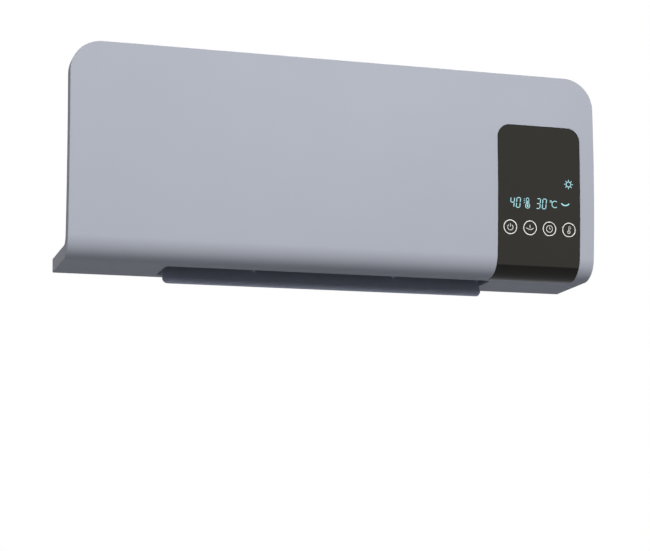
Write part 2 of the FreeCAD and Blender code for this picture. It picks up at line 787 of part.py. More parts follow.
def rear_housing():
    outer = rounded_block("housing_outer", across("half_housing"), ("front + liner_front", "0"),
                          ("underside", "housing_top"), "housing_corner")
    inner = rounded_block("housing_inner", across("side_inside"), ("front", "rear_inside"),
                          ("underside - wall", "housing_top - wall"), "housing_corner - wall")
    recess = rounded_block("housing_recess", across("side_inside"), ("-rear_recess", "wall"),
                           ("underside - wall", "housing_top - wall"), "housing_corner - wall")
    shell = cut("housing_shell", outer, inner, recess)
    posts = []
    cuts = [
        bent_panel("housing_trim", "-cover_thick", "cover_thick + seat_gap", "cover_width",
                   "roof + cover_thick", "cover_thick"),
        block("housing_intake", across("half_intake"), ("intake_y", "intake_y + intake_width"),
              ("housing_top - 2 * wall", "housing_top + wall")),
        block("housing_switch_cut", ("side_inside - wall", "half_housing + wall"),
              around("switch_y", "switch_wide / 2 + fit_gap"),
              around("switch_z", "switch_tall / 2 + fit_gap")),
        rod("housing_gland_hole", "x", "gland_radius + seat_gap",
            ("side_inside - wall", "half_housing + wall"), ("gland_y", "gland_z")),
    ]
    for name, x, height in HOUSING_SCREWS:
        ends = ("front + liner_front", "rear_inside + wall / 2")
        posts.append(rod(f"corner_post_{name}", "y", "corner_post_radius", ends, (x, height)))
        ends = ("front", f"front + cover_thick + housing_screw_bite + {crown(height)}")
        cuts.append(rod(f"corner_post_hole_{name}", "y", "screw_radius", ends, (x, height)))
    for name, x, height in POWER_SCREWS:
        ends = ("power_y + board_thick", "rear_inside + wall / 2")
        posts.append(rod(f"power_post_{name}", "y", "post_radius", ends, (x, height)))
        ends = ("power_y", "power_y + board_thick + board_screw_bite")
        cuts.append(rod(f"power_post_hole_{name}", "y", "screw_radius", ends, (x, height)))
    for name, sign, height in CHEEK_SCREWS:
        ends = ("rear_inside - wall", "rear_inside + wall - seat_gap")
        cuts.append(rod(f"housing_cheek_hole_{name}", "y", "screw_radius", ends,
                        (f"{sign}(cheek_outside + cheek_flange / 2)", height)))
    for side, sign in SIDES:
        half_slot = "hook_width / 2 + slot_gap"
        cuts.append(block(f"housing_hook_slot_{side}",
                          span(sign, f"hook_x - ({half_slot})", f"hook_x + {half_slot}"),
                          ("rear_inside - wall", "wall - rear_recess"),
                          ("hook_z - lift - slot_gap", "hook_z + plate_thick + seat_gap")))
        for index in range(VENT_COUNT):
            low = f"underside + vent_height + vent_pitch * {index}"
            cuts.append(block(f"housing_vent_{side}_{index}",
                              span(sign, "side_inside - wall", "half_housing + wall"),
                              around("fan_y", "vent_length / 2"), (low, f"{low} + vent_slot")))
    return cut("rear_housing", fuse("housing_with_posts", shell, *posts), *cuts)


node(rear_housing(), "rear_housing")

node(group("cover_screws", [
    *[screw(f"cover_screw_{name}", "y", f"front + cover_thick + lean_gap + {crown(height)}", -1,
            "liner_thick + 2 * lean_gap + cover_screw_bite - seat_gap", (x, height))
      for name, x, height in COVER_SCREWS],
    *[screw(f"cover_screw_{side}_floor", "z", "deck", -1, "liner_thick + cover_screw_bite",
            (f"{sign}cover_screw_x", "front + cover_screw_depth")) for side, sign in SIDES],
]), "cover_screws")

node(group("housing_screws", [
    screw(f"housing_screw_{name}", "y", f"front + liner_front - lean_gap + {crown(height)}", 1,
          "liner_thick + lean_gap + housing_screw_bite - seat_gap", (x, height))
    for name, x, height in HOUSING_SCREWS]), "housing_screws")


# Intake grille: a slotted plate in the top of the housing, held by a flange under its edge

def intake_grille():
    body = doc.addObject("PartDesign::Body", "intake_plate")
    plate_z = ("housing_top - wall - flange_thick", "housing_top")
    solid_box(body, "intake_plate_box", "Additive", across("half_intake - fit_gap"),
              ("intake_y + fit_gap", "intake_y + intake_width - fit_gap"), plate_z)
    solid_box(body, "intake_flange", "Additive", across("half_intake + flange_width"),
              ("intake_y - flange_width", "intake_y + intake_width + flange_width"),
              (plate_z[0], "housing_top - wall - seat_gap"))
    count = "floor((2 * half_intake - 2 * intake_edge) / intake_pitch)"
    start = f"-intake_pitch * ({count} - 1) / 2 - intake_slot / 2"
    slot = solid_box(body, "intake_slot_cut", "Subtractive", (start, f"({start}) + intake_slot"),
                     ("intake_y + intake_edge", "intake_y + intake_width - intake_edge"),
                     ("housing_top - 3 * wall", "housing_top + wall"))
    row_of_cuts(body, "intake_slots", slot, "intake_pitch", count)
    bar = block("intake_bar", across("half_intake - intake_edge"),
                around("intake_y + intake_width / 2", "intake_edge / 4"), plate_z)
    return fuse("intake_grille", body, bar)


node(intake_grille(), "intake_grille")


# Air duct: a scroll wall behind the fan, a tongue wall in front of it and a cheek at each end

def scroll_wall():
    width = across("half_duct - fit_gap")
    ring = cut("scroll_ring", rod("scroll_outer", "x", "scroll_inside + sheet", width, ("fan_y", "fan_z")),
               rod("scroll_inner", "x", "scroll_inside", across("half_duct"), ("fan_y", "fan_z")))
    quarter = block("scroll_quarter", width, ("fan_y + scroll_lip", "fan_y + scroll_inside + 2 * sheet"),
                    ("fan_z", "fan_z + scroll_inside + 2 * sheet"))
    flat = block("scroll_flat", width, ("outlet_far", "outlet_far + sheet"), ("duct_foot", "fan_z"))
    return fuse("scroll_wall", common("scroll_curl", ring, quarter), flat)


node(scroll_wall(), "scroll_wall")

TONGUE = [("front + tongue_tip", "underside + tongue_top"), ("front + tongue_mid", "underside + tongue_knee"),
          ("front + tongue_mid", "underside + tongue_hip"), ("outlet_near", "underside + tongue_ankle"),
          ("outlet_near", "duct_foot")]
node(outline_pad("tongue_wall", TONGUE + [(f"{y} - sheet", z) for y, z in reversed(TONGUE)],
                 "2 * half_duct - 2 * fit_gap"), "tongue_wall")


def cheek(name, sign, cuts):
    """One end of the duct: a plate with rear flanges, which stands on the liner and reaches the cover."""
    side = span(sign, "half_duct", "cheek_outside")
    rear = "rear_inside - seat_gap"
    slab = block(f"{name}_slab", side, ("front + cheek_front", rear), ("underside", "underside + cheek_top"))
    trim = bent_panel(f"{name}_trim", "-cover_thick", "cover_thick + fit_gap", "cover_width",
                      "roof + cover_thick", "cover_thick")
    plate = cut(f"{name}_plate", slab, trim)
    foot = block(f"{name}_foot", side, ("outlet_near - sheet", "outlet_far + sheet"),
                 ("duct_foot", "deck + sheet"))
    flanges = []
    for level in ("low", "high"):
        height = f"underside + cheek_screw_{level}"
        flanges.append(block(f"{name}_flange_{level}",
                             span(sign, "half_duct", "cheek_outside + cheek_flange"),
                             (f"{rear} - cheek_thick", rear), around(height, "cheek_flange / 2")))
        cuts.append(rod(f"{name}_flange_hole_{level}", "y", "screw_radius + seat_gap", ("pivot_y", "0"),
                        (f"{sign}(cheek_outside + cheek_flange / 2)", height)))
    return cut(name, fuse(f"{name}_solid", plate, foot, *flanges), *cuts)


def cheek_hole(name, sign, radius, centre):
    return rod(name, "x", radius, span(sign, "half_duct - sheet", "cheek_outside + sheet"), centre)


EAR_CENTRES = [("near", "pivot_y - ear_span"), ("far", "pivot_y + ear_span")]
EAR_HEIGHT = "pivot_z + stepper_offset"
node(cheek("right_cheek", "", [
    cheek_hole("bearing_seat", "", "boot_radius", ("fan_y", "fan_z")),
    cheek_hole("stepper_nose_hole", "", "stepper_nose + seat_gap", ("pivot_y", "pivot_z")),
    *[cheek_hole(f"ear_hole_{name}", "", "screw_radius", (y, EAR_HEIGHT)) for name, y in EAR_CENTRES],
    block("terminal_slot", ("half_duct - sheet", "cheek_outside + sheet"),
          ("heater_y + fin_row", "heater_y + heater_width - fin_row"),
          around("heater_z + heater_thick / 2", "tab_width / 2 + fit_gap")),
]), "right_cheek")
node(cheek("left_cheek", "-", [
    cheek_hole("motor_hole", "-", "motor_boss_radius + mount_thick", ("fan_y", "fan_z")),
    cheek_hole("bush_seat", "-", "bush_radius", ("pivot_y", "pivot_z")),
    *[cheek_hole(f"lug_hole_{name}", "-", "screw_radius", lug_centre(*share)) for name, *share in LUGS],
]), "left_cheek")

node(group("cheek_screws", [
    screw(f"cheek_screw_{name}", "y", "rear_inside - seat_gap - cheek_thick", 1,
          "cheek_thick + wall - 2 * seat_gap", (f"{sign}(cheek_outside + cheek_flange / 2)", height))
    for name, sign, height in CHEEK_SCREWS]), "cheek_screws")


# Fan: a cross-flow wheel between the cheeks, turned by the motor shaft at its left end

FAN_AXIS = ("fan_y", "fan_z")


def circle(sketch, radius, drawn=True):
    """A circle about a sketch's origin."""
    shape = Part.Circle(FreeCAD.Vector(), FreeCAD.Vector(0, 0, 1), number(radius))
    index = sketch.addGeometry(shape, not drawn)
    sketch.addConstraint(Sketcher.Constraint("Coincident", index, 3, -1, 1))
    dimension(sketch, "Radius", (index,), radius)
    return index


def ring(body, name, start, length, radius, hole):
    """A flat ring of the wheel, from a place along its axis."""
    sketch = plane_sketch(body, f"{name}_outline", offset=start)
    circle(sketch, radius)
    circle(sketch, hole)
    return pad(body, name, sketch, length)


def blade_angle(arc_radius, reach):
    """Where a blade's arc crosses a circle about the wheel's axis, as an angle about the arc's centre."""
    centre = FreeCAD.Vector(number("blade_root"), number("blade_camber"), 0)
    share = (reach ** 2 - centre.Length ** 2 - arc_radius ** 2) / (2 * centre.Length * arc_radius)
    return math.atan2(centre.y, centre.x) - math.acos(share)


def blade(body):
    """One curved blade: two arcs about one centre, ended on the wheel's inner and outer circles."""
    sketch = plane_sketch(body, "blade_outline", offset="-half_fan")
    centre = FreeCAD.Vector(number("blade_root"), number("blade_camber"), 0)
    root = circle(sketch, "blade_root", drawn=False)
    tip = circle(sketch, "blade_tip", drawn=False)
    radii = ("blade_camber - blade_thick / 2", "blade_camber + blade_thick / 2")
    faces = []
    for radius in radii:
        whole = Part.Circle(centre, FreeCAD.Vector(0, 0, 1), number(radius))
        start, end = (blade_angle(whole.Radius, number(reach)) for reach in ("blade_root", "blade_tip"))
        faces.append(sketch.addGeometry(Part.ArcOfCircle(whole, start, end)))
    inside, outside = faces
    inner, outer = (sketch.Geometry[face] for face in faces)
    root_line = sketch.addGeometry(Part.LineSegment(inner.StartPoint, outer.StartPoint))
    tip_line = sketch.addGeometry(Part.LineSegment(inner.EndPoint, outer.EndPoint))
    for link in ((inside, 1, root_line, 1), (outside, 1, root_line, 2), (inside, 2, tip_line, 1),
                 (outside, 2, tip_line, 2), (inside, 3, outside, 3)):
        sketch.addConstraint(Sketcher.Constraint("Coincident", *link))
    for face, radius in zip(faces, radii):
        sketch.addConstraint(Sketcher.Constraint("PointOnObject", face, 1, root))
        sketch.addConstraint(Sketcher.Constraint("PointOnObject", face, 2, tip))
        dimension(sketch, "Radius", (face,), radius)
    dimension(sketch, "DistanceX", (-1, 1, inside, 3), "blade_root")
    dimension(sketch, "DistanceY", (-1, 1, inside, 3), "blade_camber")
    return pad(body, "blade", sketch, "2 * half_fan")


def fan_wheel():
    body = doc.addObject("PartDesign::Body", "fan_wheel")
    ring(body, "end_disc_left", "-half_fan", "disc_thick", "fan_radius", "shaft_radius")
    first = blade(body)
    doc.recompute()
    blades = body.newObject("PartDesign::PolarPattern", "blades")
    blades.Originals = [first]
    blades.Axis = (origin_part(body, "X_Axis"), [""])
    bind(blades, Occurrences="fan_blades")
    body.Tip = blades
    doc.recompute()
    gaps = SIZES["disc_count"] - 1
    for index in range(1, gaps):
        start = f"-half_fan + (2 * half_fan - disc_thick) * {index} / {gaps}"
        ring(body, f"middle_ring_{index}", start, "disc_thick", "fan_radius", "blade_root - blade_thick")
    ring(body, "end_disc_right", "half_fan - disc_thick", "disc_thick", "fan_radius", "shaft_radius")
    ring(body, "hub_left", "-half_fan", "hub_length", "hub_radius", "shaft_radius")
    ring(body, "hub_right", "half_fan - hub_length", "hub_length", "hub_radius", "shaft_radius")
    return bind(body, Placement__Base__y="fan_y", Placement__Base__z="fan_z")


node(fan_wheel(), "fan_wheel")
node(rod("motor_shaft", "x", "shaft_radius", ("-motor_tail", "hub_length - half_fan"), FAN_AXIS),
     "motor_shaft")
node(rod("fan_stub", "x", "shaft_radius", ("half_fan - hub_length", "boot_face"), FAN_AXIS), "fan_stub")


# Fan motor: a can on three lugs, set on rubber mounts against the left cheek

def at_lugs(name, radius, along):
    """A round bar at each of the motor's lugs."""
    return [rod(f"{name}_{lug}", "x", radius, along, lug_centre(*share)) for lug, *share in LUGS]


def fan_motor():
    can = rod("motor_can", "x", "motor_radius", ("-motor_back", "-motor_face"), FAN_AXIS)
    plate = rod("motor_plate", "x", "motor_radius + lug_thick", ("-motor_face", "-lug_face"), FAN_AXIS)
    boss = rod("motor_boss", "x", "motor_boss_radius", ("-motor_tail", "-motor_back"), FAN_AXIS)
    nose = rod("motor_nose", "x", "motor_boss_radius", ("-lug_face", "-cheek_outside"), FAN_AXIS)
    lugs = at_lugs("motor_lug", "lug_radius", ("-motor_face", "-lug_face"))
    bore = rod("motor_bore", "x", "shaft_radius + run_gap", ("-motor_tail - wall", "-half_duct"), FAN_AXIS)
    holes = at_lugs("motor_lug_hole", "screw_radius + seat_gap", ("-motor_back", "-half_duct"))
    head_room = at_lugs("motor_head_room", "screw_head + fit_gap", ("-motor_back", "-motor_face"))
    return cut("fan_motor", fuse("motor_solid", can, plate, boss, nose, *lugs), bore, *holes, *head_room)


def motor_mounts():
    washers = at_lugs("motor_washer", "lug_radius", ("-lug_face", "-cheek_outside"))
    holes = at_lugs("motor_washer_hole", "screw_radius + seat_gap", ("-motor_face", "-half_duct"))
    return group("motor_mounts", [cut(f"motor_mount_{index}", washer, hole)
                                  for index, (washer, hole) in enumerate(zip(washers, holes))])


node(fan_motor(), "fan_motor")
node(motor_mounts(), "motor_mounts")
node(group("motor_screws", [
    screw(f"motor_screw_{lug}", "x", "-motor_face", 1, "lug_thick + mount_thick + cheek_thick",
          lug_centre(*share)) for lug, *share in LUGS]), "motor_screws")


# End bearing: a plain bush in a rubber boot in the right cheek

def fan_bearing():
    sleeve = rod("bearing_sleeve", "x", "bearing_radius", ("half_duct", "boot_face"), FAN_AXIS)
    bore = rod("bearing_bore", "x", "shaft_radius + run_gap", ("half_fan", "boot_face + wall"), FAN_AXIS)
    return cut("fan_bearing", sleeve, bore)


def bearing_boot():
    collar = rod("boot_collar", "x", "boot_radius", ("half_duct", "cheek_outside"), FAN_AXIS)
    rim = rod("boot_rim", "x", "boot_radius + boot_flange", ("cheek_outside", "boot_face"), FAN_AXIS)
    bore = rod("boot_bore", "x", "bearing_radius", ("half_fan", "boot_face + wall"), FAN_AXIS)
    return cut("bearing_boot", fuse("boot_solid", collar, rim), bore)


node(fan_bearing(), "fan_bearing")
node(bearing_boot(), "bearing_boot")


# Heating element: three slotted fin rows with two heating bars between them, held in end caps

HEATER_HEIGHT = ("heater_z", "heater_z + heater_thick")
BAR_STARTS = ["heater_y + fin_row", "heater_y + 2 * fin_row + bar_width"]


def fin_row(index):
    body = doc.addObject("PartDesign::Body", f"fin_row_{index}")
    near_side = f"heater_y + (fin_row + bar_width) * {index}"
    solid_box(body, f"fin_row_box_{index}", "Additive", across("half_fins"),
              (near_side, f"{near_side} + fin_row"), HEATER_HEIGHT)
    count = "floor((2 * half_fins - fin_thick) / fin_pitch)"
    start = f"-fin_pitch * {count} / 2 + fin_thick / 2"
    slot = solid_box(body, f"fin_slot_{index}", "Subtractive", (start, f"({start}) + fin_pitch - fin_thick"),
                     (f"{near_side} + fin_edge", f"{near_side} + fin_row - fin_edge"),
                     ("heater_z - fin_edge", "heater_z + heater_thick + fin_edge"))
    row_of_cuts(body, f"fin_slots_{index}", slot, "fin_pitch", count)
    return body


def heating_bar(name, start):
    return block(name, across("bar_end"), (start, f"{start} + bar_width"), HEATER_HEIGHT)


def heater_tab(name, start, gap="0"):
    """A flat terminal on the right end of a heating bar, or the slot for one with a gap round it."""
    return block(name, ("bar_end", "cheek_outside + tab_reach"),
                 around(f"{start} + bar_width / 2", f"tab_thick / 2 + {gap}"),
                 around("heater_z + heater_thick / 2", f"tab_width / 2 + {gap}"))


def heater_cap(side, sign):
    name = f"heater_cap_{side}"
    solid = block(f"{name}_block", span(sign, "half_fins", "half_duct - fit_gap"),
                  ("heater_y", "heater_y + heater_width"), ("heater_z - cap_lip", "cap_top"))
    tools = [heating_bar(f"{name}_pocket_{index}", start) for index, start in enumerate(BAR_STARTS)]
    if side == "right":
        tools += [heater_tab(f"{name}_slot_{index}", start, "seat_gap")
                  for index, start in enumerate(BAR_STARTS)]
    return cut(name, solid, *tools)


def thermal_cutout():
    centre = ("half_fins + heater_cap / 2", "heater_y + heater_width / 2")
    disc = rod("cutout_disc", "z", "cutout_radius", ("cap_top", "cap_top + cutout_tall"), centre)
    tags = [block(f"cutout_tag_{name}", around(centre[0], "tab_thick / 2"),
                  around(f"{centre[1]} {sign} cutout_radius / 2", "tab_width / 4"),
                  ("cap_top + cutout_tall / 2", "cap_top + 2 * cutout_tall"))
            for name, sign in (("near", "-"), ("far", "+"))]
    return fuse("thermal_cutout", disc, *tags)


node(group("heater_fins", [fin_row(index) for index in range(len(BAR_STARTS) + 1)]), "heater_fins")
node(group("heating_bars", [heating_bar(f"heating_bar_{index}", start)
                            for index, start in enumerate(BAR_STARTS)]), "heating_bars")
node(group("heater_terminals", [heater_tab(f"heater_tab_{index}", start)
                                for index, start in enumerate(BAR_STARTS)]), "heater_terminals")
node(group("heater_caps", [heater_cap(side, sign) for side, sign in SIDES]), "heater_caps")
node(thermal_cutout(), "thermal_cutout")


# Outlet guard: a ribbed grid across the duct, below the heating element and above the louver

def outlet_guard():
    body = doc.addObject("PartDesign::Body", "guard_grid")
    width = across("half_duct - fit_gap")
    height = ("guard_z", "guard_z + guard_thick")
    solid_box(body, "guard_box", "Additive", width, ("guard_near", "guard_far"), height)
    count = "floor((2 * half_duct - 2 * fit_gap - guard_rib) / guard_pitch)"
    start = f"-guard_pitch * {count} / 2 + guard_rib / 2"
    slot = solid_box(body, "guard_slot", "Subtractive", (start, f"({start}) + guard_pitch - guard_rib"),
                     ("guard_near + guard_rib", "guard_far - guard_rib"),
                     ("guard_z - guard_rib", "guard_z + guard_thick + guard_rib"))
    row_of_cuts(body, "guard_slots", slot, "guard_pitch", count)
    bars = [block(f"guard_bar_{name}", width, around(middle, "guard_rib / 2"), height)
            for name, middle in (("near", "(guard_near + pivot_y) / 2"), ("middle", "pivot_y"),
                                 ("far", "(guard_far + pivot_y) / 2"))]
    return fuse("outlet_guard", body, *bars)


node(outlet_guard(), "outlet_guard")


# Louver: a flap on arms, drawn closed about its own pivot and then swung open

PIVOT = ("pivot_y", "pivot_z")
ON_AXIS = ("0", "0")


def swung(thing, axis, angle, x, y, z):
    """Turns a piece drawn about its own pivot and sets the pivot in its place."""
    thing.Placement = FreeCAD.Placement(FreeCAD.Vector(), FreeCAD.Rotation(FreeCAD.Vector(*axis), 1))
    bind(thing, Placement__Base__x=x, Placement__Base__y=y, Placement__Base__z=z)
    return bind(thing, Placement__Rotation__Angle=angle)


def louver():
    lip = "outlet_front + louver_gap - pivot_depth"
    flap = rounded_block("louver_flap", across("half_louver"), (lip, f"{lip} + louver_chord"),
                         ("-pivot_height", "louver_thick - pivot_height"), "louver_corner", "z",
                         upper_only=False)
    arms = []
    for side, sign in SIDES:
        middle = span(sign, "arm_offset - arm_thick / 2", "arm_offset + arm_thick / 2")
        end = span(sign, "half_louver - arm_thick", "half_louver")
        for name, x in ((f"middle_{side}", middle), (f"end_{side}", end)):
            height = ("louver_thick / 2 - pivot_height", "0")
            arms.append(block(f"louver_arm_{name}", x, across("arm_radius"), height))
            arms.append(rod(f"louver_eye_{name}", "x", "arm_radius", x, ON_AXIS))
    stub = rod("louver_stub", "x", "stub_radius", ("-cheek_outside", "-half_louver"), ON_AXIS)
    eyes = rod("louver_eye_holes", "x", "pin_radius + run_gap", across("arm_offset + arm_thick"), ON_AXIS)
    socket = rod("louver_socket", "x", "stub_radius", around("half_louver", "arm_thick"), ON_AXIS)
    whole = cut("louver", fuse("louver_solid", flap, *arms, stub), eyes, socket)
    return swung(whole, (1, 0, 0), "louver_open", "0", *PIVOT)


def louver_clip(side, sign):
    """A bracket that hangs from the guard and carries one middle arm on its pin."""
    inner = "arm_offset - arm_thick / 2 - clip_gap"
    face = "arm_offset + arm_thick / 2 + clip_gap"
    x = span(sign, face, f"{face} + clip_thick")
    plate = block(f"clip_plate_{side}", x, around("pivot_y", "arm_radius"), ("pivot_z", "guard_z"))
    end = rod(f"clip_end_{side}", "x", "arm_radius", x, PIVOT)
    pin = rod(f"clip_pin_{side}", "x", "pin_radius", span(sign, inner, face), PIVOT)
    return fuse(f"louver_clip_{side}", plate, end, pin)


def louver_bush():
    solid = rod("bush_solid", "x", "bush_radius", ("-cheek_outside", "-half_duct"), PIVOT)
    bore = rod("bush_bore", "x", "stub_radius + run_gap", ("-cheek_outside - sheet", "-half_louver"), PIVOT)
    return cut("louver_bush", solid, bore)


node(louver(), "louver")
node(group("louver_clips", [louver_clip(side, sign) for side, sign in SIDES]), "louver_clips")
node(louver_bush(), "louver_bush")


# Louver motor: a small stepper outside the right cheek, whose shaft turns the louver

def louver_motor():
    ear_x = ("stepper_face", "stepper_face + ear_thick")
    can = rod("stepper_can", "x", "stepper_radius", ("stepper_face", "stepper_face + stepper_length"),
              ("pivot_y", EAR_HEIGHT))
    bar = block("stepper_ear_bar", ear_x, around("pivot_y", "ear_span"), around(EAR_HEIGHT, "ear_radius"))
    ears = [rod(f"stepper_ear_{name}", "x", "ear_radius", ear_x, (y, EAR_HEIGHT)) for name, y in EAR_CENTRES]
    holes = [rod(f"stepper_ear_hole_{name}", "x", "screw_radius + seat_gap",
                 ("half_duct", "stepper_face + 2 * ear_thick"), (y, EAR_HEIGHT)) for name, y in EAR_CENTRES]
    nose = rod("stepper_nose", "x", "stepper_nose", ("half_duct + cheek_thick / 2", "stepper_face"), PIVOT)
    bore = rod("stepper_bore", "x", "stub_radius + run_gap", ("half_duct", "stepper_end + seat_gap"), PIVOT)
    return cut("louver_motor", fuse("stepper_solid", can, bar, *ears, nose), bore, *holes)


node(louver_motor(), "louver_motor")
node(rod("louver_shaft", "x", "stub_radius", ("half_louver - arm_thick", "stepper_end"), PIVOT),
     "louver_shaft")
node(group("louver_motor_screws", [
    screw(f"ear_screw_{name}", "x", "stepper_face + ear_thick", -1, "ear_thick + seat_gap + cheek_thick",
          (y, EAR_HEIGHT)) for name, y in EAR_CENTRES]), "louver_motor_screws")


# Power board and what stands on it

def power_board():
    plain = block("power_board_plain", ("power_left", "power_right"), ("power_y", "power_y + board_thick"),
                  ("power_low", "power_high"))
    holes = [rod(f"power_board_hole_{name}", "y", "screw_radius + seat_gap", ("pivot_y", "0"), (x, height))
             for name, x, height in POWER_SCREWS]
    return cut("power_board", plain, *holes)


def on_power_board(name, kind, shift="0"):
    """A boxed component that stands on the front of the power board."""
    left = f"power_left + {kind}_left + {shift}"
    low = f"power_low + {kind}_low"
    return block(name, (left, f"{left} + {kind}_width"), (f"power_y - {kind}_tall", "power_y"),
                 (low, f"{low} + {kind}_height"))


RELAY_COUNT = 2
node(power_board(), "power_board")
node(group("power_board_screws", [
    screw(f"power_screw_{name}", "y", "power_y", 1, "board_thick + board_screw_bite", (x, height))
    for name, x, height in POWER_SCREWS]), "power_board_screws")
node(group("relays", [on_power_board(f"relay_{index}", "relay", f"relay_pitch * {index}")
                      for index in range(RELAY_COUNT)]), "relays")
node(on_power_board("transformer", "transformer"), "transformer")
node(on_power_board("terminal_block", "block"), "terminal_block")
node(rod("capacitor", "y", "capacitor_radius", ("power_y - capacitor_tall", "power_y"),
         ("power_left + capacitor_left", "power_low + capacitor_low")), "capacitor")


# Ribbon between the two boards, through a slot in the liner, with a plug at each end

RIBBON_ACROSS = around("lens_middle", "ribbon_width / 2")
PLUG_ACROSS = around("lens_middle", "ribbon_width / 2 + plug_lip")
PLUG_HEIGHT = around("underside + ribbon_height", "ribbon_thick / 2 + plug_lip")
node(block("display_ribbon", RIBBON_ACROSS, ("board_back + plug_short", "power_y - plug_long"),
           around("underside + ribbon_height", "ribbon_thick / 2")), "display_ribbon")
node(group("ribbon_plugs", [
    block("display_plug", PLUG_ACROSS, ("board_back", "board_back + plug_short"), PLUG_HEIGHT),
    block("power_plug", PLUG_ACROSS, ("power_y - plug_long", "power_y"), PLUG_HEIGHT)]), "ribbon_plugs")


# Mains switch in the right wall: a body with a bezel, and a rocker on its own pins

def switch_body():
    face = "half_housing + seat_gap"
    core = block("switch_core", ("half_housing - switch_deep", face), around("switch_y", "switch_wide / 2"),
                 around("switch_z", "switch_tall / 2"))
    bezel = block("switch_bezel", (face, f"{face} + bezel_thick"),
                  around("switch_y", "switch_wide / 2 + bezel_lip"),
                  around("switch_z", "switch_tall / 2 + bezel_lip"))
    well = block("switch_well",
                 ("half_housing - rocker_deep - 2 * rocker_swing_gap", f"{face} + 2 * bezel_thick"),
                 around("switch_y", "rocker_wide / 2 + rocker_side_gap"),
                 around("switch_z", "rocker_half + rocker_swing_gap"))
    pins = rod("switch_pin_holes", "y", "rocker_pin + run_gap",
               around("switch_y", "rocker_reach + fit_gap"), ("half_housing", "switch_z"))
    return cut("switch_body", fuse("switch_solid", core, bezel), well, pins)


def switch_rocker():
    """The rocker, drawn level about its pins and then tipped to one side."""
    outline = [("-rocker_deep", "rocker_toe - rocker_half"), ("rocker_edge", "-rocker_half"),
               ("rocker_crest", "0"), ("rocker_edge", "rocker_half"),
               ("-rocker_deep", "rocker_half - rocker_toe")]
    paddle = outline_pad("rocker_paddle", outline, "rocker_wide", role="XZ_Plane")
    pins = rod("rocker_pins", "y", "rocker_pin", across("rocker_reach"), ON_AXIS)
    whole = fuse("switch_rocker", paddle, pins)
    return swung(whole, (0, 1, 0), "rocker_tilt", "half_housing", "switch_y", "switch_z")


node(switch_body(), "switch_body")
node(switch_rocker(), "switch_rocker")


# Cable gland in the right wall and the nut that holds it from inside

GLAND_AXIS = ("gland_y", "gland_z")
GLAND_SPAN = ("side_inside - gland_tail", "half_housing")


def cable_gland():
    rim_face = "half_housing + gland_flange_thick"
    barrel = rod("gland_barrel", "x", "gland_radius", GLAND_SPAN, GLAND_AXIS)
    rim = rod("gland_rim", "x", "gland_flange", ("half_housing", rim_face), GLAND_AXIS)
    bore = rod("gland_passage", "x", "gland_bore", ("side_inside - 2 * gland_tail", f"{rim_face} + wall"),
               GLAND_AXIS)
    return cut("cable_gland", fuse("gland_solid", barrel, rim), bore)


def gland_nut():
    nut_span = ("side_inside - gland_nut_thick", "side_inside")
    solid = rod("gland_nut_solid", "x", "gland_nut", nut_span, GLAND_AXIS)
    thread = rod("gland_nut_thread", "x", "gland_radius", GLAND_SPAN, GLAND_AXIS)
    return cut("gland_nut", solid, thread)


node(cable_gland(), "cable_gland")
node(gland_nut(), "gland_nut")


# Air sensor on the inside of the right cheek, up in the intake air

node(rod("air_sensor", "x", "sensor_radius", ("half_duct - sensor_length", "half_duct"),
         ("front + cheek_front + 2 * sensor_radius", "underside + cheek_top - 2 * sensor_radius")),
     "air_sensor")


# Wall plate: bent steel with a flange top and bottom, four screw holes and a hook at each end

def wall_plate():
    length = across("half_plate")
    web = block("plate_web", length, ("-plate_thick", "0"), across("plate_tall / 2"))
    flanges = [block(f"plate_flange_{name}", length, ("-plate_flange", "0"), height)
               for name, height in (("top", ("plate_tall / 2 - plate_thick", "plate_tall / 2")),
                                    ("bottom", ("-plate_tall / 2", "plate_thick - plate_tall / 2")))]
    hook_end = "-plate_thick - hook_reach"
    hooks = []
    for side, sign in SIDES:
        x = span(sign, "hook_x - hook_width / 2", "hook_x + hook_width / 2")
        hooks.append(block(f"hook_arm_{side}", x, (hook_end, "0"), ("hook_z", "hook_z + plate_thick")))
        hooks.append(block(f"hook_tip_{side}", x, (hook_end, f"{hook_end} + plate_thick"),
                           ("hook_z", "hook_z + hook_tip")))
    holes = [rod(f"plate_hole_{side}_{level}", "y", "plate_hole_radius", ("-2 * plate_thick", "plate_thick"),
                 (f"{sign}plate_hole_x", f"{up}plate_hole_up / 2"))
             for side, sign in SIDES for level, up in (("high", ""), ("low", "-"))]
    return cut("wall_plate", fuse("plate_solid", web, *flanges, *hooks), *holes)


node(wall_plate(), "wall_plate")


def write_parts():
    """Checks every object, then writes one file for each node."""
    doc.recompute()
    for thing in doc.Objects:
        if "Invalid" in thing.State or "Error" in thing.State:
            raise RuntimeError(f"{thing.Name} failed: {thing.State}")
    for thing in NODES:
        if thing.Shape.isNull() or not thing.Shape.isValid() or not thing.Shape.Solids:
            raise RuntimeError(f"{thing.Label} has no valid solid")
    os.makedirs("parts", exist_ok=True)
    for thing in NODES:
        thing.Shape.exportStep(f"parts/{thing.Label}.step")
        print(thing.Label, len(thing.Shape.Solids), round(thing.Shape.Volume / 1000, 2))


write_parts()
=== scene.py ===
import math

import bmesh
import bpy
from mathutils import Euler, Matrix


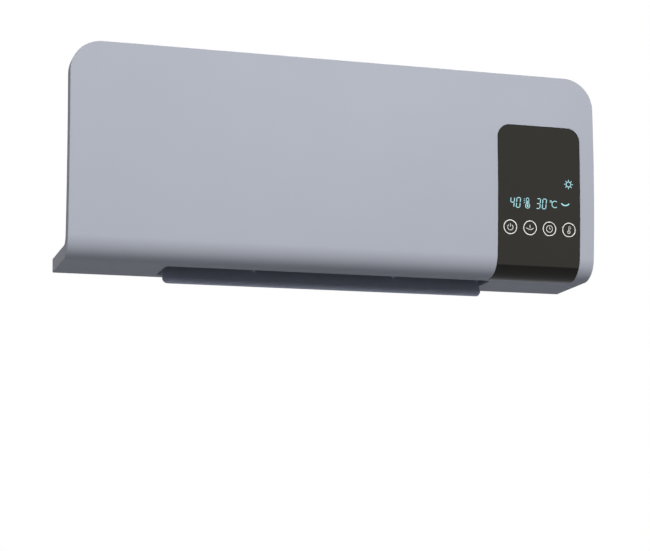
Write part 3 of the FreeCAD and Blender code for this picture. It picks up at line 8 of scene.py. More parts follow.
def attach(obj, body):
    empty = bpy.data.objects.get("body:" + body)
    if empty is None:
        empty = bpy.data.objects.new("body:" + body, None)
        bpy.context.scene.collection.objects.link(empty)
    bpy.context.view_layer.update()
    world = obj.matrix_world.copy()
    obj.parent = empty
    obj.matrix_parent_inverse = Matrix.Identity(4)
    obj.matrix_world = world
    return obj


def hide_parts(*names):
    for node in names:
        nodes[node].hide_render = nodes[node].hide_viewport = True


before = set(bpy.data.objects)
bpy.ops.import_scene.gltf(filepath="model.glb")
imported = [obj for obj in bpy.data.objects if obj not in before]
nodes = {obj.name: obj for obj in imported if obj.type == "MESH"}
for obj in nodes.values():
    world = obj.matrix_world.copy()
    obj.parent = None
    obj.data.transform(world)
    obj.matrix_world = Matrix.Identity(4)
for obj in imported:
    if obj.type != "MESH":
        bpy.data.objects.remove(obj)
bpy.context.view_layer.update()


# Wall plate: a pressed sheet of zinc plated steel that is screwed to the wall.
# Its hooks are bent out of the same sheet, and the heater hangs on them.
class Shade:
    """A shader value: arithmetic with it adds Math nodes to its tree."""

    def __init__(self, finish, socket):
        self.finish = finish
        self.socket = socket

    def math(self, operation, one, two):
        return self.finish.node("ShaderNodeMath", {"operation": operation}, {0: one, 1: two})

    def __add__(self, other):
        return self.math("ADD", self, other)

    def __radd__(self, other):
        return self.math("ADD", other, self)

    def __mul__(self, other):
        return self.math("MULTIPLY", self, other)

    def __rmul__(self, other):
        return self.math("MULTIPLY", other, self)

    def __lt__(self, other):
        return self.math("LESS_THAN", self, other)

    def __gt__(self, other):
        return self.math("GREATER_THAN", self, other)


class Finish:
    """A surface finish: a material, its node tree and its shader."""

    def __init__(self, name, constants):
        self.material = bpy.data.materials.new(name)
        self.material.use_nodes = True
        self.tree = self.material.node_tree
        self.shader = self.tree.nodes["Principled BSDF"]
        self.surface(constants)

    def feed(self, socket, value):
        if isinstance(value, Shade):
            self.tree.links.new(value.socket, socket)
        else:
            socket.default_value = value

    def node(self, kind, settings, sockets, out=0):
        made = self.tree.nodes.new(kind)
        for key, value in settings.items():
            setattr(made, key, value)
        for key, value in sockets.items():
            self.feed(made.inputs[key], value)
        return Shade(self, made.outputs[out])

    def surface(self, sockets):
        for key, value in sockets.items():
            self.feed(self.shader.inputs[key], value)


def cloud(finish, scale, detail, stretch=(1.0, 1.0, 1.0)):
    """Soft noise from 0 to 1 over the piece, drawn out along an axis by a small stretch value."""
    place = finish.node("ShaderNodeTexCoord", {}, {}, "Object")
    place = finish.node("ShaderNodeMapping", {}, {"Vector": place, "Scale": stretch})
    return finish.node("ShaderNodeTexNoise", {}, {"Vector": place, "Scale": scale, "Detail": detail})


def between(finish, share, one, two):
    """A colour that goes from one to two as the share goes from 0 to 1."""
    return finish.node("ShaderNodeMix", {"data_type": "RGBA"}, {0: share, 6: one, 7: two}, 2)


def relief(finish, height, depth):
    """The surface normal for a height pattern of that depth in metres."""
    return finish.node("ShaderNodeBump", {}, {"Strength": 1.0, "Distance": depth, "Height": height}, "Normal")


def plated(name, light, dark, gloss, drawn):
    """Plated or rolled metal: fine drawn lines, patches of crystal and a little dulling."""
    finish = Finish(name, {"Metallic": 1.0})
    lines = cloud(finish, scale=900.0, detail=3.0, stretch=drawn)
    place = finish.node("ShaderNodeTexCoord", {}, {}, "Object")
    crystal = finish.node("ShaderNodeTexVoronoi", {}, {"Vector": place, "Scale": 160.0}, "Color")
    crystal = finish.node("ShaderNodeSeparateColor", {}, {0: crystal})
    dulling = cloud(finish, scale=14.0, detail=4.0)
    finish.surface({
        "Base Color": between(finish, lines * 0.5 + crystal * 0.3 + dulling * 0.2, dark, light),
        "Roughness": gloss + crystal * 0.08 + dulling * 0.12,
        "Normal": relief(finish, lines, depth=0.00002),
    })
    return finish


def dress(finish, *names):
    """Gives CAD nodes a finish."""
    for name in names:
        for slot in nodes[name].material_slots:
            slot.material = finish.material


zinc = plated("zinc_plate", light=(0.66, 0.67, 0.68, 1), dark=(0.48, 0.49, 0.51, 1),
              gloss=0.26, drawn=(0.05, 1.0, 1.0))
dress(zinc, "wall_plate")


# Rear housing and intake grille: grey moulded plastic with a fine spark grain.
# The housing is one deep tray that hangs on the wall plate; the grille snaps into its top.
def moulded(name, colour, roughness, grain, depth):
    """Moulded plastic: a fine grain in the surface and slight drifts of tone and gloss."""
    finish = Finish(name, {"Specular IOR Level": 0.25})
    drift = cloud(finish, scale=7.0, detail=3.0)
    speck = cloud(finish, scale=grain, detail=2.0)
    pale = tuple(min(1.0, part * 1.05) for part in colour) + (1.0,)
    deep = tuple(part * 0.94 for part in colour) + (1.0,)
    finish.surface({
        "Base Color": between(finish, drift * 0.75 + speck * 0.25, deep, pale),
        "Roughness": roughness - 0.05 + drift * 0.06 + speck * 0.06,
        "Normal": relief(finish, speck, depth),
    })
    return finish


housing_plastic = moulded("housing_plastic", (0.27, 0.285, 0.32), roughness=0.52, grain=1400.0, depth=0.00006)
dress(housing_plastic, "rear_housing")
grille_plastic = moulded("grille_plastic", (0.2, 0.21, 0.235), roughness=0.5, grain=1400.0, depth=0.00005)
dress(grille_plastic, "intake_grille")


# Air duct: the scroll, the tongue and the two cheeks, bent from galvanised sheet.
# Their edges are folded tabs, and screws hold the cheeks to the housing.
galvanised = plated("galvanised_sheet", light=(0.58, 0.6, 0.62, 1), dark=(0.4, 0.42, 0.44, 1),
                    gloss=0.34, drawn=(0.08, 1.0, 1.0))
dress(galvanised, "scroll_wall", "tongue_wall", "right_cheek", "left_cheek")


# Cross flow fan: a long wheel of thin blades between rings, moulded in dark nylon.
# It runs on a ground steel shaft at the motor end and on a stub in a bronze bearing at the other.
fan_plastic = moulded("fan_plastic", (0.045, 0.047, 0.052), roughness=0.42, grain=1100.0, depth=0.00003)
dress(fan_plastic, "fan_wheel")
ground_steel = plated("ground_steel", light=(0.62, 0.62, 0.62, 1), dark=(0.5, 0.5, 0.5, 1),
                      gloss=0.16, drawn=(1.0, 0.04, 0.04))
dress(ground_steel, "motor_shaft", "fan_stub", "louver_shaft")
bronze = plated("sintered_bronze", light=(0.56, 0.38, 0.18, 1), dark=(0.4, 0.25, 0.11, 1),
                gloss=0.36, drawn=(1.0, 1.0, 1.0))
dress(bronze, "fan_bearing")
rubber = moulded("soft_rubber", (0.022, 0.022, 0.023), roughness=0.82, grain=700.0, depth=0.00006)
dress(rubber, "bearing_boot", "motor_mounts")
motor_can = plated("motor_can", light=(0.52, 0.53, 0.54, 1), dark=(0.38, 0.39, 0.4, 1),
                   gloss=0.3, drawn=(0.06, 1.0, 1.0))
dress(motor_can, "fan_motor", "louver_motor")


# Heater: rows of thin aluminium fins pressed on flat heating bars.
# Heat proof end caps carry the bars, and brass tags and a cut-out sit at their ends.
fin_metal = plated("fin_aluminium", light=(0.72, 0.72, 0.73, 1), dark=(0.55, 0.55, 0.57, 1),
                   gloss=0.3, drawn=(1.0, 1.0, 0.06))
dress(fin_metal, "heater_fins", "heating_bars")
brass = plated("brass_tag", light=(0.72, 0.53, 0.22, 1), dark=(0.55, 0.38, 0.14, 1),
               gloss=0.24, drawn=(0.1, 1.0, 1.0))
dress(brass, "heater_terminals", "touch_posts")
cap_plastic = moulded("cap_plastic", (0.5, 0.46, 0.38), roughness=0.6, grain=900.0, depth=0.00005)
dress(cap_plastic, "heater_caps")
cutout_plastic = moulded("cutout_plastic", (0.13, 0.06, 0.035), roughness=0.4, grain=900.0, depth=0.00002)
dress(cutout_plastic, "thermal_cutout")


# Outlet guard and louver: a dark grid that keeps fingers off the fins, and a long flap before it.
# The flap is moulded in the cover's grey, and turns on a stepper motor, a bush and two clips.
satin = {"Specular IOR Level": 0.08}
guard_plastic = moulded("guard_plastic", (0.05, 0.053, 0.06), roughness=0.5, grain=1200.0, depth=0.00004)
dress(guard_plastic, "outlet_guard")
# The flap's colour is lighter and bluer than the cover's grey: painted fill light that stands in for light
# missing in its shade under the cover.
louver_painted_light = moulded("louver_painted_light", (0.48, 0.52, 0.645), roughness=0.58, grain=1600.0, depth=0.000008)
louver_painted_light.surface(satin)
dress(louver_painted_light, "louver")
bearing_plastic = moulded("bearing_plastic", (0.62, 0.61, 0.57), roughness=0.38, grain=1000.0, depth=0.00002)
dress(bearing_plastic, "louver_clips", "louver_bush")


# Circuit boards: green lacquered glass laminate with tinned pads and darker tracks.
# The power board stands at the right of the duct, the display board behind the lens.
laminate = Finish("board_laminate", {"Specular IOR Level": 0.5})
place = laminate.node("ShaderNodeTexCoord", {}, {}, "Object")
east = laminate.node("ShaderNodeSeparateXYZ", {}, {0: place}, "X")
up = laminate.node("ShaderNodeSeparateXYZ", {}, {0: place}, "Z")
flat = laminate.node("ShaderNodeCombineXYZ", {}, {"X": east, "Y": up})
track = laminate.node(
    "ShaderNodeTexBrick", {"offset": 0.37, "squash": 1.6, "squash_frequency": 3},
    {"Vector": flat, "Scale": 42.0, "Mortar Size": 0.03, "Mortar Smooth": 0.1}, "Fac")
spots = laminate.node(
    "ShaderNodeTexVoronoi", {}, {"Vector": flat, "Scale": 260.0, "Randomness": 0.55}, "Distance")
pad = spots < 0.2
weave = cloud(laminate, scale=1200.0, detail=2.0)
lacquer = between(laminate, track, (0.012, 0.105, 0.045, 1), (0.022, 0.19, 0.075, 1))
laminate.surface({
    "Base Color": between(laminate, pad * 0.9, lacquer, (0.6, 0.6, 0.58, 1)),
    "Metallic": pad * 0.85,
    "Roughness": 0.3 + weave * 0.12 + pad * 0.06,
    "Normal": relief(laminate, track * 0.5 + weave * 0.15, depth=0.00008),
})
dress(laminate, "power_board", "display_board")


# Parts on the boards: relays, display block, buzzer, receiver, sensor and capacitor in black resin.
# The transformer is a taped coil on a steel core, and the plugs and terminal block are pale nylon.
# A flat ribbon of moulded cores joins the two boards.
resin = moulded("black_resin", (0.03, 0.03, 0.033), roughness=0.4, grain=1500.0, depth=0.00003)
dress(resin, "relays", "digit_display", "infrared_receiver", "buzzer", "capacitor", "air_sensor")
taped_core = Finish("taped_core", {"Specular IOR Level": 0.4})
layers = cloud(taped_core, scale=260.0, detail=2.0, stretch=(0.05, 0.05, 1.0))
scuff = cloud(taped_core, scale=60.0, detail=3.0)
taped_core.surface({
    "Base Color": between(taped_core, layers, (0.42, 0.3, 0.05, 1), (0.6, 0.45, 0.1, 1)),
    "Roughness": 0.34 + scuff * 0.2,
    "Normal": relief(taped_core, layers, depth=0.0001),
})
dress(taped_core, "transformer")
nylon = moulded("pale_nylon", (0.66, 0.65, 0.6), roughness=0.42, grain=1000.0, depth=0.00003)
dress(nylon, "terminal_block", "ribbon_plugs")
ribbon_skin = Finish("ribbon_skin", {"Specular IOR Level": 0.4})
cores = cloud(ribbon_skin, scale=800.0, detail=1.0, stretch=(1.0, 0.03, 0.03))
ribbon_skin.surface({
    "Base Color": between(ribbon_skin, cores, (0.34, 0.35, 0.37, 1), (0.5, 0.51, 0.53, 1)),
    "Roughness": 0.4 + cores * 0.15,
    "Normal": relief(ribbon_skin, cores, depth=0.0002),
})
dress(ribbon_skin, "display_ribbon")


# Mains switch and cable gland: glossy black switch and a ribbed black nylon gland with its nut.
# Both sit in the right end of the housing.
switch_plastic = moulded("switch_plastic", (0.018, 0.018, 0.02), roughness=0.28, grain=1500.0, depth=0.00001)
dress(switch_plastic, "switch_body", "switch_rocker")
gland_plastic = moulded("gland_plastic", (0.03, 0.03, 0.032), roughness=0.5, grain=1100.0, depth=0.00004)
dress(gland_plastic, "cable_gland", "gland_nut")


# Screws: zinc plated pan heads, the same for the cover, housing, boards, motors and duct.
# They are turned and rolled, and are tightened into moulded posts.
screw_steel = plated("screw_steel", light=(0.66, 0.66, 0.65, 1), dark=(0.5, 0.5, 0.5, 1),
                     gloss=0.24, drawn=(1.0, 1.0, 1.0))
dress(screw_steel, "cover_screws", "housing_screws", "cheek_screws", "display_screws", "motor_screws",
      "louver_motor_screws", "power_board_screws")


# Cover liner: the inner panel that closes the cover from behind, in plain unpainted grey plastic.
# It is screwed into the cover's hollow and carries the display board.
liner_plastic = moulded("liner_plastic", (0.3, 0.31, 0.335), roughness=0.56, grain=1200.0, depth=0.00005)
dress(liner_plastic, "cover_liner")


# Front cover: one thick moulding in satin blue grey plastic, hollow at the back.
# A flat top runs into a long shallow crown, and a tight bend turns it under into a short floor.
# The outlet is cut through the floor, and a shallow pocket takes the lens.
half_cover = 0.26
front, roof, underside = -0.096, 0.069, -0.130
crown_start, crown_radius, bend_radius = 0.039, 1.35, 0.022
crown_y = front + crown_radius
bend_z = underside + bend_radius
crown_turn = math.asin((crown_start - bend_z) / (crown_radius - bend_radius))
bend_y = crown_y - (crown_radius - bend_radius) * math.cos(crown_turn)
cover_thick, cover_skin, cover_corner, cover_edge = 0.0135, 0.0025, 0.03, 0.0009
outlet_half, outlet_front, outlet_back, outlet_corner = 0.163, -0.0555, -0.0105, 0.005
lens_left, lens_right, lens_top, lens_back, lens_corner = 0.1577, 0.2443, 0.018, -0.0635, 0.013
lens_gap, lens_pocket = 0.00035, 0.0018
cutter_spare, cutter_reach, pocket_over = 0.02, 0.2, 0.004
near = 0.00001


def start_clear():
    """Leaves nothing selected, in object mode."""
    if bpy.context.object and bpy.context.object.mode != "OBJECT":
        bpy.ops.object.mode_set(mode="OBJECT")
    bpy.ops.object.select_all(action="DESELECT")


def take(piece):
    """Makes a piece the only one selected and the active one."""
    start_clear()
    piece.select_set(True)
    bpy.context.view_layer.objects.active = piece


def pick(piece, kind, test):
    """Selects in edit mode the vertices or edges whose points pass a test together."""
    bpy.ops.mesh.select_mode(type=kind)
    bpy.ops.mesh.select_all(action="DESELECT")
    shape = bmesh.from_edit_mesh(piece.data)
    for part in shape.verts if kind == "VERT" else shape.edges:
        points = [part] if kind == "VERT" else part.verts
        part.select_set(test(*(point.co for point in points)))
    shape.select_flush_mode()
    bmesh.update_edit_mesh(piece.data)


def merge(reach):
    """Merges, in edit mode, all points within that reach of each other."""
    bpy.ops.mesh.select_all(action="SELECT")
    bpy.ops.mesh.remove_doubles(threshold=reach)


def finish_with(piece, kind, settings):
    """Adds a modifier to a piece and applies it."""
    take(piece)
    modifier = piece.modifiers.new(kind.lower(), kind)
    for key, value in settings.items():
        setattr(modifier, key, value)
    bpy.ops.object.modifier_apply(modifier=modifier.name)


def block(name, low, high):
    """A cube stretched between two corners, open in edit mode."""
    start_clear()
    bpy.ops.mesh.primitive_cube_add(size=1.0, location=[(a + b) / 2 for a, b in zip(low, high)])
    piece = bpy.context.object
    piece.name = piece.data.name = name
    piece.scale = [b - a for a, b in zip(low, high)]
    bpy.ops.object.transform_apply(location=True, rotation=True, scale=True)
    bpy.ops.object.mode_set(mode="EDIT")
    return piece


def bent_sheet(name, left, right, top, corner, back, proud, thick):
    """A slab along the cover's front and round its bend, its face that far proud of the cover's."""
    start_clear()
    middle = ((left + right) / 2, front - proud, (top + crown_start) / 2)
    bpy.ops.mesh.primitive_plane_add(size=1.0, location=middle, rotation=(math.pi / 2, 0.0, 0.0))
    slab = bpy.context.object
    slab.name = slab.data.name = name
    slab.scale = (right - left, top - crown_start, 1.0)
    bpy.ops.object.transform_apply(location=True, rotation=True, scale=True)
    bpy.ops.object.mode_set(mode="EDIT")
    if corner:
        pick(slab, "VERT", lambda co: co.z > top - near)
        bpy.ops.mesh.bevel(offset=corner, segments=20, affect="VERTICES")
        merge(near)
    pick(slab, "VERT", lambda co: co.z < crown_start + near)
    along = (-1.0, 0.0, 0.0)
    bpy.ops.mesh.spin(steps=30, angle=crown_turn, center=(0.0, crown_y, crown_start), axis=along)
    bpy.ops.mesh.spin(steps=20, angle=math.pi / 2 - crown_turn, center=(0.0, bend_y, bend_z), axis=along)
    bpy.ops.mesh.extrude_region_move(TRANSFORM_OT_translate={"value": (0.0, back - bend_y, 0.0)})
    merge(near)
    bpy.ops.mesh.normals_make_consistent(inside=False)
    shape = bmesh.from_edit_mesh(slab.data)
    if max(shape.faces, key=lambda face: face.calc_center_median().z).normal.y > 0.0:
        bpy.ops.mesh.flip_normals()
    bpy.ops.object.mode_set(mode="OBJECT")
    finish_with(slab, "SOLIDIFY", {"thickness": thick, "offset": -1.0, "use_even_offset": True})
    return slab


def lens_slab(name, grow, proud, thick):
    """A bent slab cut to the lens's outline, larger all round by grow."""
    slab = bent_sheet(name, lens_left - cutter_spare, lens_right + cutter_spare, roof, 0.0,
                      lens_back + cutter_spare, proud, thick)
    outline = block("outline", (lens_left - grow, -cutter_reach, -cutter_reach),
                    (lens_right + grow, lens_back + grow, lens_top + grow))
    pick(outline, "EDGE", lambda one, two: min(one.z, two.z) > lens_top - near and abs(one.x - two.x) < near)
    bpy.ops.mesh.bevel(offset=lens_corner + grow, segments=14, affect="EDGES")
    bpy.ops.object.mode_set(mode="OBJECT")
    finish_with(slab, "BOOLEAN", {"object": outline, "operation": "INTERSECT", "solver": "EXACT"})
    bpy.data.objects.remove(outline)
    return slab


def soften(piece, width):
    """Rounds a piece's sharp edges a little."""
    finish_with(piece, "BEVEL", {
        "width": width, "segments": 3, "limit_method": "ANGLE", "angle_limit": math.radians(40.0)})


def smooth(piece):
    """Merges the doubles that cuts and bevels leave, and shades the curves smooth and the edges sharp."""
    take(piece)
    bpy.ops.object.mode_set(mode="EDIT")
    merge(near / 10)
    bpy.ops.mesh.dissolve_degenerate(threshold=near / 10)
    bpy.ops.object.mode_set(mode="OBJECT")
    bpy.ops.object.shade_smooth_by_angle(angle=math.radians(28.0))
    finish_with(piece, "WEIGHTED_NORMAL", {"keep_sharp": True})


def paint(piece, *finishes):
    """Gives a new piece its finishes, the first one all over."""
    piece.data.materials.clear()
    for finish in finishes:
        piece.data.materials.append(finish.material)


cover = bent_sheet("cover_shell", -half_cover, half_cover, roof, cover_corner, 0.0, 0.0, cover_thick)
soften(cover, cover_edge)
hollow_half = half_cover - cover_skin
hollow = bent_sheet("cover_hollow", -hollow_half, hollow_half, roof - cover_skin, cover_corner - cover_skin,
                    -cover_skin, -cover_skin, cover_thick)
outlet = block("outlet_cut", (-outlet_half, outlet_front, underside - cutter_spare),
               (outlet_half, outlet_back, underside + cover_thick + cutter_spare))
pick(outlet, "EDGE", lambda one, two: abs(one.z - two.z) > near)
bpy.ops.mesh.bevel(offset=outlet_corner, segments=8, affect="EDGES")
bpy.ops.object.mode_set(mode="OBJECT")
pocket = lens_slab("lens_pocket", lens_gap, pocket_over, pocket_over + lens_pocket)
for cutter in (hollow, outlet, pocket):
    finish_with(cover, "BOOLEAN", {"object": cutter, "operation": "DIFFERENCE", "solver": "EXACT"})
    bpy.data.objects.remove(cutter)
smooth(cover)

cover_plastic = moulded("cover_plastic", (0.437, 0.458, 0.519), roughness=0.58, grain=1600.0, depth=0.00002)
cover_plastic.surface(satin)
paint(cover, cover_plastic)
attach(cover, "heater")
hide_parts("front_cover")


# Display lens: a strip of smoked acrylic, bent with the cover and glued into its pocket.
# Its face is polished, its softened edges are painted near black as a painted shadow of the gap round it, and
# it stands a hair proud of the cover.
lens_proud, lens_thick, lens_edge = 0.0003, 0.002, 0.0008
gap_shadow_slope = 0.1
lens = lens_slab("lens_panel", 0.0, lens_proud, lens_thick)
soften(lens, lens_edge)
smooth(lens)

smoked = Finish("smoked_acrylic", {"Specular Tint": (1.0, 0.97, 0.88, 1.0), "IOR": 1.45})
haze = cloud(smoked, scale=9.0, detail=3.0)
wipe = cloud(smoked, scale=90.0, detail=4.0, stretch=(1.0, 1.0, 0.25))
smoked.surface({
    "Base Color": between(smoked, haze, (0.0037, 0.0035, 0.0026, 1), (0.006, 0.0057, 0.0044, 1)),
    "Roughness": 0.05 + haze * 0.02 + wipe * 0.03,
})
gap_shadow_paint = moulded("gap_shadow_paint", (0.006, 0.006, 0.007), roughness=0.7, grain=1500.0, depth=0.00001)
gap_shadow_paint.surface({"Specular IOR Level": 0.05})
paint(lens, smoked, gap_shadow_paint)
# Faces that turn away from the front get the near black painted shadow of the gap.
for face in lens.data.polygons:
    sideways, backwards, upwards = face.normal
    face.material_index = int(max(abs(sideways), backwards, upwards) > gap_shadow_slope)
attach(lens, "heater")
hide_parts("display_lens")


# Lit digits and signs: light guides that show through the lens, in pale cyan.
# Two pairs of seven bar digits, a thermometer, a degree sign, a swing arc and a small sun.
mark_proud, mark_thick = 0.00004, 0.00012


def bar(x, z, length, width, turn=0.0):
    """A flat stroke with softened ends, centred on a place of the front, turned from upright in degrees."""
    start_clear()
    bpy.ops.mesh.primitive_plane_add(
        size=1.0, location=(x, 0.0, z), rotation=(math.pi / 2, -math.radians(turn), 0.0))
    stroke = bpy.context.object
    stroke.scale = (width, length, 1.0)
    bpy.ops.object.transform_apply(location=True, rotation=True, scale=True)
    bpy.ops.object.mode_set(mode="EDIT")
    bpy.ops.mesh.select_all(action="SELECT")
    bpy.ops.mesh.bevel(offset=width * 0.4, segments=2, affect="VERTICES")
    bpy.ops.object.mode_set(mode="OBJECT")
    return stroke


def arc(x, z, radius, width, first=0.0, last=360.0):
    """A flat curved stroke round a place of the front, from one angle to another, in degrees."""
    start_clear()
    bpy.ops.mesh.primitive_plane_add(
        size=width, location=(x + radius, 0.0, z), rotation=(math.pi / 2, 0.0, 0.0))
    stroke = bpy.context.object
    bpy.ops.object.transform_apply(location=True, rotation=True, scale=True)
    bpy.ops.object.mode_set(mode="EDIT")
    pick(stroke, "VERT", lambda co: co.z > z)
    bpy.ops.mesh.delete(type="VERT")
    bpy.ops.mesh.select_all(action="SELECT")
    bpy.ops.transform.translate(value=(0.0, 0.0, width / 2))
    bpy.ops.mesh.spin(steps=40, angle=math.radians(last - first), center=(x, 0.0, z), axis=(0.0, 1.0, 0.0))
    merge(near)
    bpy.ops.object.mode_set(mode="OBJECT")
    turn = math.radians(first)
    for point in stroke.data.vertices:
        east, up = point.co.x - x, point.co.z - z
        point.co.x = x + east * math.cos(turn) - up * math.sin(turn)
        point.co.z = z + east * math.sin(turn) + up * math.cos(turn)
    return stroke


def mark(name, strokes, finish):
    """Joins flat strokes into one thin piece that lies on the lens's face."""
    start_clear()
    for stroke in strokes:
        stroke.select_set(True)
    bpy.context.view_layer.objects.active = strokes[0]
    bpy.ops.object.join()
    piece = bpy.context.object
    piece.name = piece.data.name = name
    bpy.ops.object.mode_set(mode="EDIT")
    shape = bmesh.from_edit_mesh(piece.data)
    for face in shape.faces:
        face.normal_update()
        if face.normal.y > 0.0:
            face.normal_flip()
    bmesh.update_edit_mesh(piece.data)
    bpy.ops.object.mode_set(mode="OBJECT")
    finish_with(piece, "SOLIDIFY", {"thickness": mark_thick, "offset": -1.0})
    face_radius = crown_radius + lens_proud + mark_proud
    for point in piece.data.vertices:
        point.co.y += crown_y - math.sqrt(face_radius ** 2 - (point.co.z - crown_start) ** 2)
    paint(piece, finish)
    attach(piece, "heater")


digit_tall, digit_wide, digit_stroke = 0.0096, 0.0038, 0.00078
digit_lean, digit_slant = 0.1, -6.0
digit_middle = -0.0586
digit_bars = {"0": "abcdef", "3": "abcdg", "4": "bcfg"}


def digit(figure, x):
    """The lit bars of one seven bar digit: a top, b and c right, d low, e and f left, g middle."""
    half, side = digit_tall / 2, digit_wide / 2
    level = {"a": half, "d": -half, "g": 0.0}
    upright = {"b": (side, half / 2), "c": (side, -half / 2), "e": (-side, -half / 2), "f": (-side, half / 2)}
    strokes = []
    for name in digit_bars[figure]:
        if name in level:
            across, rise, length, turn = 0.0, level[name], digit_wide * 0.8, 90.0
        else:
            across, rise = upright[name]
            length, turn = half * 0.84, digit_slant
        strokes.append(bar(x + across + rise * digit_lean, digit_middle + rise, length, digit_stroke, turn))
    return strokes


glow = Finish("cyan_glow", {"Emission Strength": 1.0, "Base Color": (0.05, 0.06, 0.065, 1), "Roughness": 0.3})
shimmer = cloud(glow, scale=500.0, detail=2.0)
glow.surface({"Emission Color": between(glow, shimmer, (0.32, 0.74, 0.8, 1), (0.5, 0.88, 0.92, 1))})
strokes = []
for figure, x in (("4", 0.1723), ("0", 0.1786), ("3", 0.1998), ("0", 0.2061)):
    strokes += digit(figure, x)
mark("lit_digits", strokes, glow)

gauge_x, gauge_z, bulb_z = 0.1883, -0.0577, -0.0614
gauge_side, gauge_line = 0.0013, 0.0006
strokes = [
    bar(gauge_x - gauge_side, gauge_z + 0.0003, length=0.0046, width=gauge_line),
    bar(gauge_x + gauge_side, gauge_z + 0.0003, length=0.0046, width=gauge_line),
    arc(gauge_x, gauge_z + 0.0027, radius=gauge_side, width=gauge_line, last=180.0),
    bar(gauge_x, gauge_z - 0.0006, length=0.0038, width=0.0008),
    arc(gauge_x, bulb_z, radius=0.0023, width=gauge_line, first=-235.0, last=55.0),
    arc(gauge_x, bulb_z, radius=0.0005, width=0.0009),
]
tick_count, tick_pitch = 3, 0.0018
for step in range(tick_count):
    tick_z = gauge_z + 0.0029 - tick_pitch * step
    strokes.append(bar(gauge_x - 0.0033, tick_z, length=0.0014, width=0.0005, turn=90.0))
degree_x, degree_z = 0.2174, -0.0585
strokes += [
    arc(degree_x - 0.0044, degree_z + 0.0027, radius=0.0009, width=0.0005),
    arc(degree_x, degree_z, radius=0.0032, width=0.0007, first=50.0, last=310.0),
]
sweep_x, sweep_z = 0.2284, -0.0538
strokes.append(arc(sweep_x, sweep_z, radius=0.0052, width=0.0011, first=218.0, last=322.0))
sun_x, sun_z = 0.232, -0.0379
ray_count, ray_reach = 8, 0.0039
strokes.append(arc(sun_x, sun_z, radius=0.0025, width=0.00075))
for step in range(ray_count):
    turn = 360.0 / ray_count * step
    ray_x = sun_x + ray_reach * math.sin(math.radians(turn))
    ray_z = sun_z + ray_reach * math.cos(math.radians(turn))
    strokes.append(bar(ray_x, ray_z, length=0.0015, width=0.00065, turn=-turn))
mark("lit_signs", strokes, glow)


# Touch places: four rings printed on the lens in warm white ink, each with a plain sign in it.
# They are on and off, swing, clock and heat; a finger on the lens works them, and nothing travels.
ring_places, ring_z = (0.1702, 0.191, 0.2116, 0.2324), -0.0828
ring_radius, ring_stroke, sign_stroke = 0.0067, 0.0008, 0.0005
ink = Finish("white_ink", {"Specular IOR Level": 0.4})
cover_of_ink = cloud(ink, scale=2200.0, detail=2.0)
ink.surface({
    "Base Color": between(ink, cover_of_ink, (0.92, 0.91, 0.88, 1), (0.98, 0.97, 0.94, 1)),
    "Roughness": 0.35 + cover_of_ink * 0.2,
})
mark("touch_rings", [arc(x, ring_z, ring_radius, ring_stroke) for x in ring_places], ink)
power_x, swing_x, clock_x, heat_x = ring_places
strokes = [
    arc(power_x, ring_z - 0.0003, radius=0.0028, width=sign_stroke, first=-235.0, last=55.0),
    bar(power_x, ring_z + 0.0019, length=0.0034, width=sign_stroke),
    arc(swing_x, ring_z + 0.0036, radius=0.0052, width=sign_stroke, first=225.0, last=315.0),
    bar(swing_x, ring_z + 0.0012, length=0.0036, width=sign_stroke),
    arc(clock_x, ring_z, radius=0.0032, width=sign_stroke),
    bar(clock_x, ring_z + 0.001, length=0.0022, width=sign_stroke),
    bar(clock_x + 0.0007, ring_z, length=0.0017, width=sign_stroke, turn=90.0),
    arc(heat_x, ring_z - 0.0022, radius=0.0013, width=sign_stroke),
    bar(heat_x, ring_z + 0.0013, length=0.005, width=sign_stroke),
    bar(heat_x + 0.0016, ring_z + 0.0031, length=0.0013, width=sign_stroke, turn=90.0),
    bar(heat_x + 0.0016, ring_z + 0.0012, length=0.0013, width=sign_stroke, turn=90.0),
]
mark("touch_signs", strokes, ink)


# Studio: a pale floor under the heater, white all round, and soft light from the front and the back.
# Mirrors see the floor dim under the heater, and white from its front part on.
# The camera stands low at the left and looks up at the heater, as the photograph does.
floor_wide, floor_z = 40.0, -2.0
start_clear()
bpy.ops.mesh.primitive_plane_add(size=floor_wide, location=(0.0, 0.0, floor_z))
ground = bpy.context.object
ground.name = ground.data.name = "studio_floor"
bpy.ops.object.transform_apply(location=True, rotation=True, scale=True)


def seen_rays(finish, straight, mirrored):
    """A share for rays that look straight at a thing or through glass, one for mirrored rays, else nought."""
    camera_ray, mirror_ray, glass_ray = (
        finish.node("ShaderNodeLightPath", {}, {}, kind)
        for kind in ("Is Camera Ray", "Is Glossy Ray", "Is Transmission Ray"))
    return camera_ray.math("MAXIMUM", camera_ray, glass_ray) * straight + mirror_ray * mirrored


paper = Finish("floor_paper", {"Specular IOR Level": 0.1, "Roughness": 0.85})
fibre = cloud(paper, scale=30.0, detail=4.0)
paper.surface({"Base Color": between(paper, fibre, (0.6, 0.61, 0.64, 1), (0.64, 0.65, 0.68, 1))})
place = paper.node("ShaderNodeTexCoord", {}, {}, "Object")
flat = paper.node("ShaderNodeVectorMath", {"operation": "MULTIPLY"}, {0: place, 1: (1.0, 1.0, 0.0)})
reach = paper.node("ShaderNodeVectorMath", {"operation": "LENGTH"}, {0: flat}, "Value")
fade = paper.node("ShaderNodeMapRange", {"interpolation_type": "SMOOTHSTEP"}, {
    "Value": reach, "From Min": 0.8, "From Max": 3.3, "To Min": 0.4, "To Max": 1.0})
forward = paper.node("ShaderNodeSeparateXYZ", {}, {0: place}, "Y")
mirrored = paper.node("ShaderNodeMapRange", {}, {
    "Value": forward, "From Min": -1.9, "From Max": -1.6, "To Min": 1.0, "To Max": 0.1})
white = paper.node("ShaderNodeEmission", {}, {"Color": (1.0, 1.0, 1.0, 1.0), "Strength": 1.0})
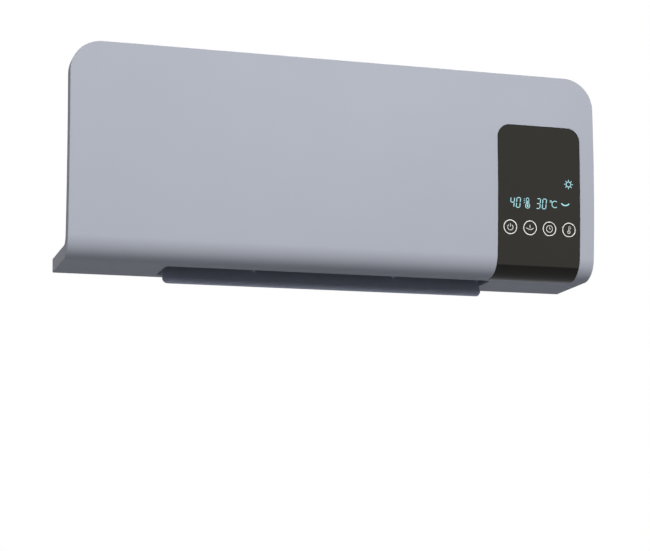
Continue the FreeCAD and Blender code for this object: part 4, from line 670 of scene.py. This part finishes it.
lifted = paper.node("ShaderNodeMixShader", {}, {
    0: seen_rays(paper, fade, mirrored), 1: Shade(paper, paper.shader.outputs[0]), 2: white})
paper.feed(paper.tree.nodes["Material Output"].inputs["Surface"], lifted)
ground.data.materials.append(paper.material)


class Backdrop(Finish):
    """The white all round the studio: the world's node tree and its background shader."""

    def __init__(self, world):
        world.use_nodes = True
        self.tree = world.node_tree
        self.shader = self.tree.nodes["Background"]


ambient = 0.26
bpy.context.scene.world = bpy.data.worlds.new("studio_white")
backdrop = Backdrop(bpy.context.scene.world)
backdrop.surface({
    "Color": (1.0, 1.0, 1.0, 1.0),
    "Strength": ambient + seen_rays(backdrop, 1.0 - ambient, 1.0 - ambient),
})

for name, place, wide, tall, power in (("front_softbox", (-0.2, -3.5, 1.6), 1.1, 2.4, 17.0),
                                       ("back_softbox", (0.0, 2.6, 2.6), 3.2, 3.2, 10.0)):
    lamp = bpy.data.lights.new(name, "AREA")
    lamp.shape = "ELLIPSE"
    lamp.size, lamp.size_y = wide, tall
    lamp.energy = power
    lamp.spread = math.radians(60.0)
    holder = bpy.data.objects.new(name, lamp)
    bpy.context.scene.collection.objects.link(holder)
    holder.location = place
    holder.visible_glossy = False
    holder.rotation_euler = (-holder.location).to_track_quat("-Z", "Y").to_euler()

photo_pixels, focal_pixels, shift_pixels = 650.0, 1811.5, 80.0
view_turn, view_pitch, view_roll = 0.30652, 0.14415, -0.01461
eye = bpy.data.cameras.new("photo_camera")
eye.sensor_width = 36.0
eye.lens = focal_pixels / photo_pixels * eye.sensor_width
eye.shift_y = shift_pixels / photo_pixels
camera = bpy.data.objects.new("photo_camera", eye)
bpy.context.scene.collection.objects.link(camera)
camera.location = (-0.52244, -1.67738, -0.45625)
aim = Euler((math.pi / 2 + view_pitch, 0.0, -view_turn)).to_matrix() @ Matrix.Rotation(view_roll, 3, "Z")
camera.rotation_euler = aim.to_euler()
bpy.context.scene.camera = camera
bpy.context.scene.view_settings.view_transform = "Standard"
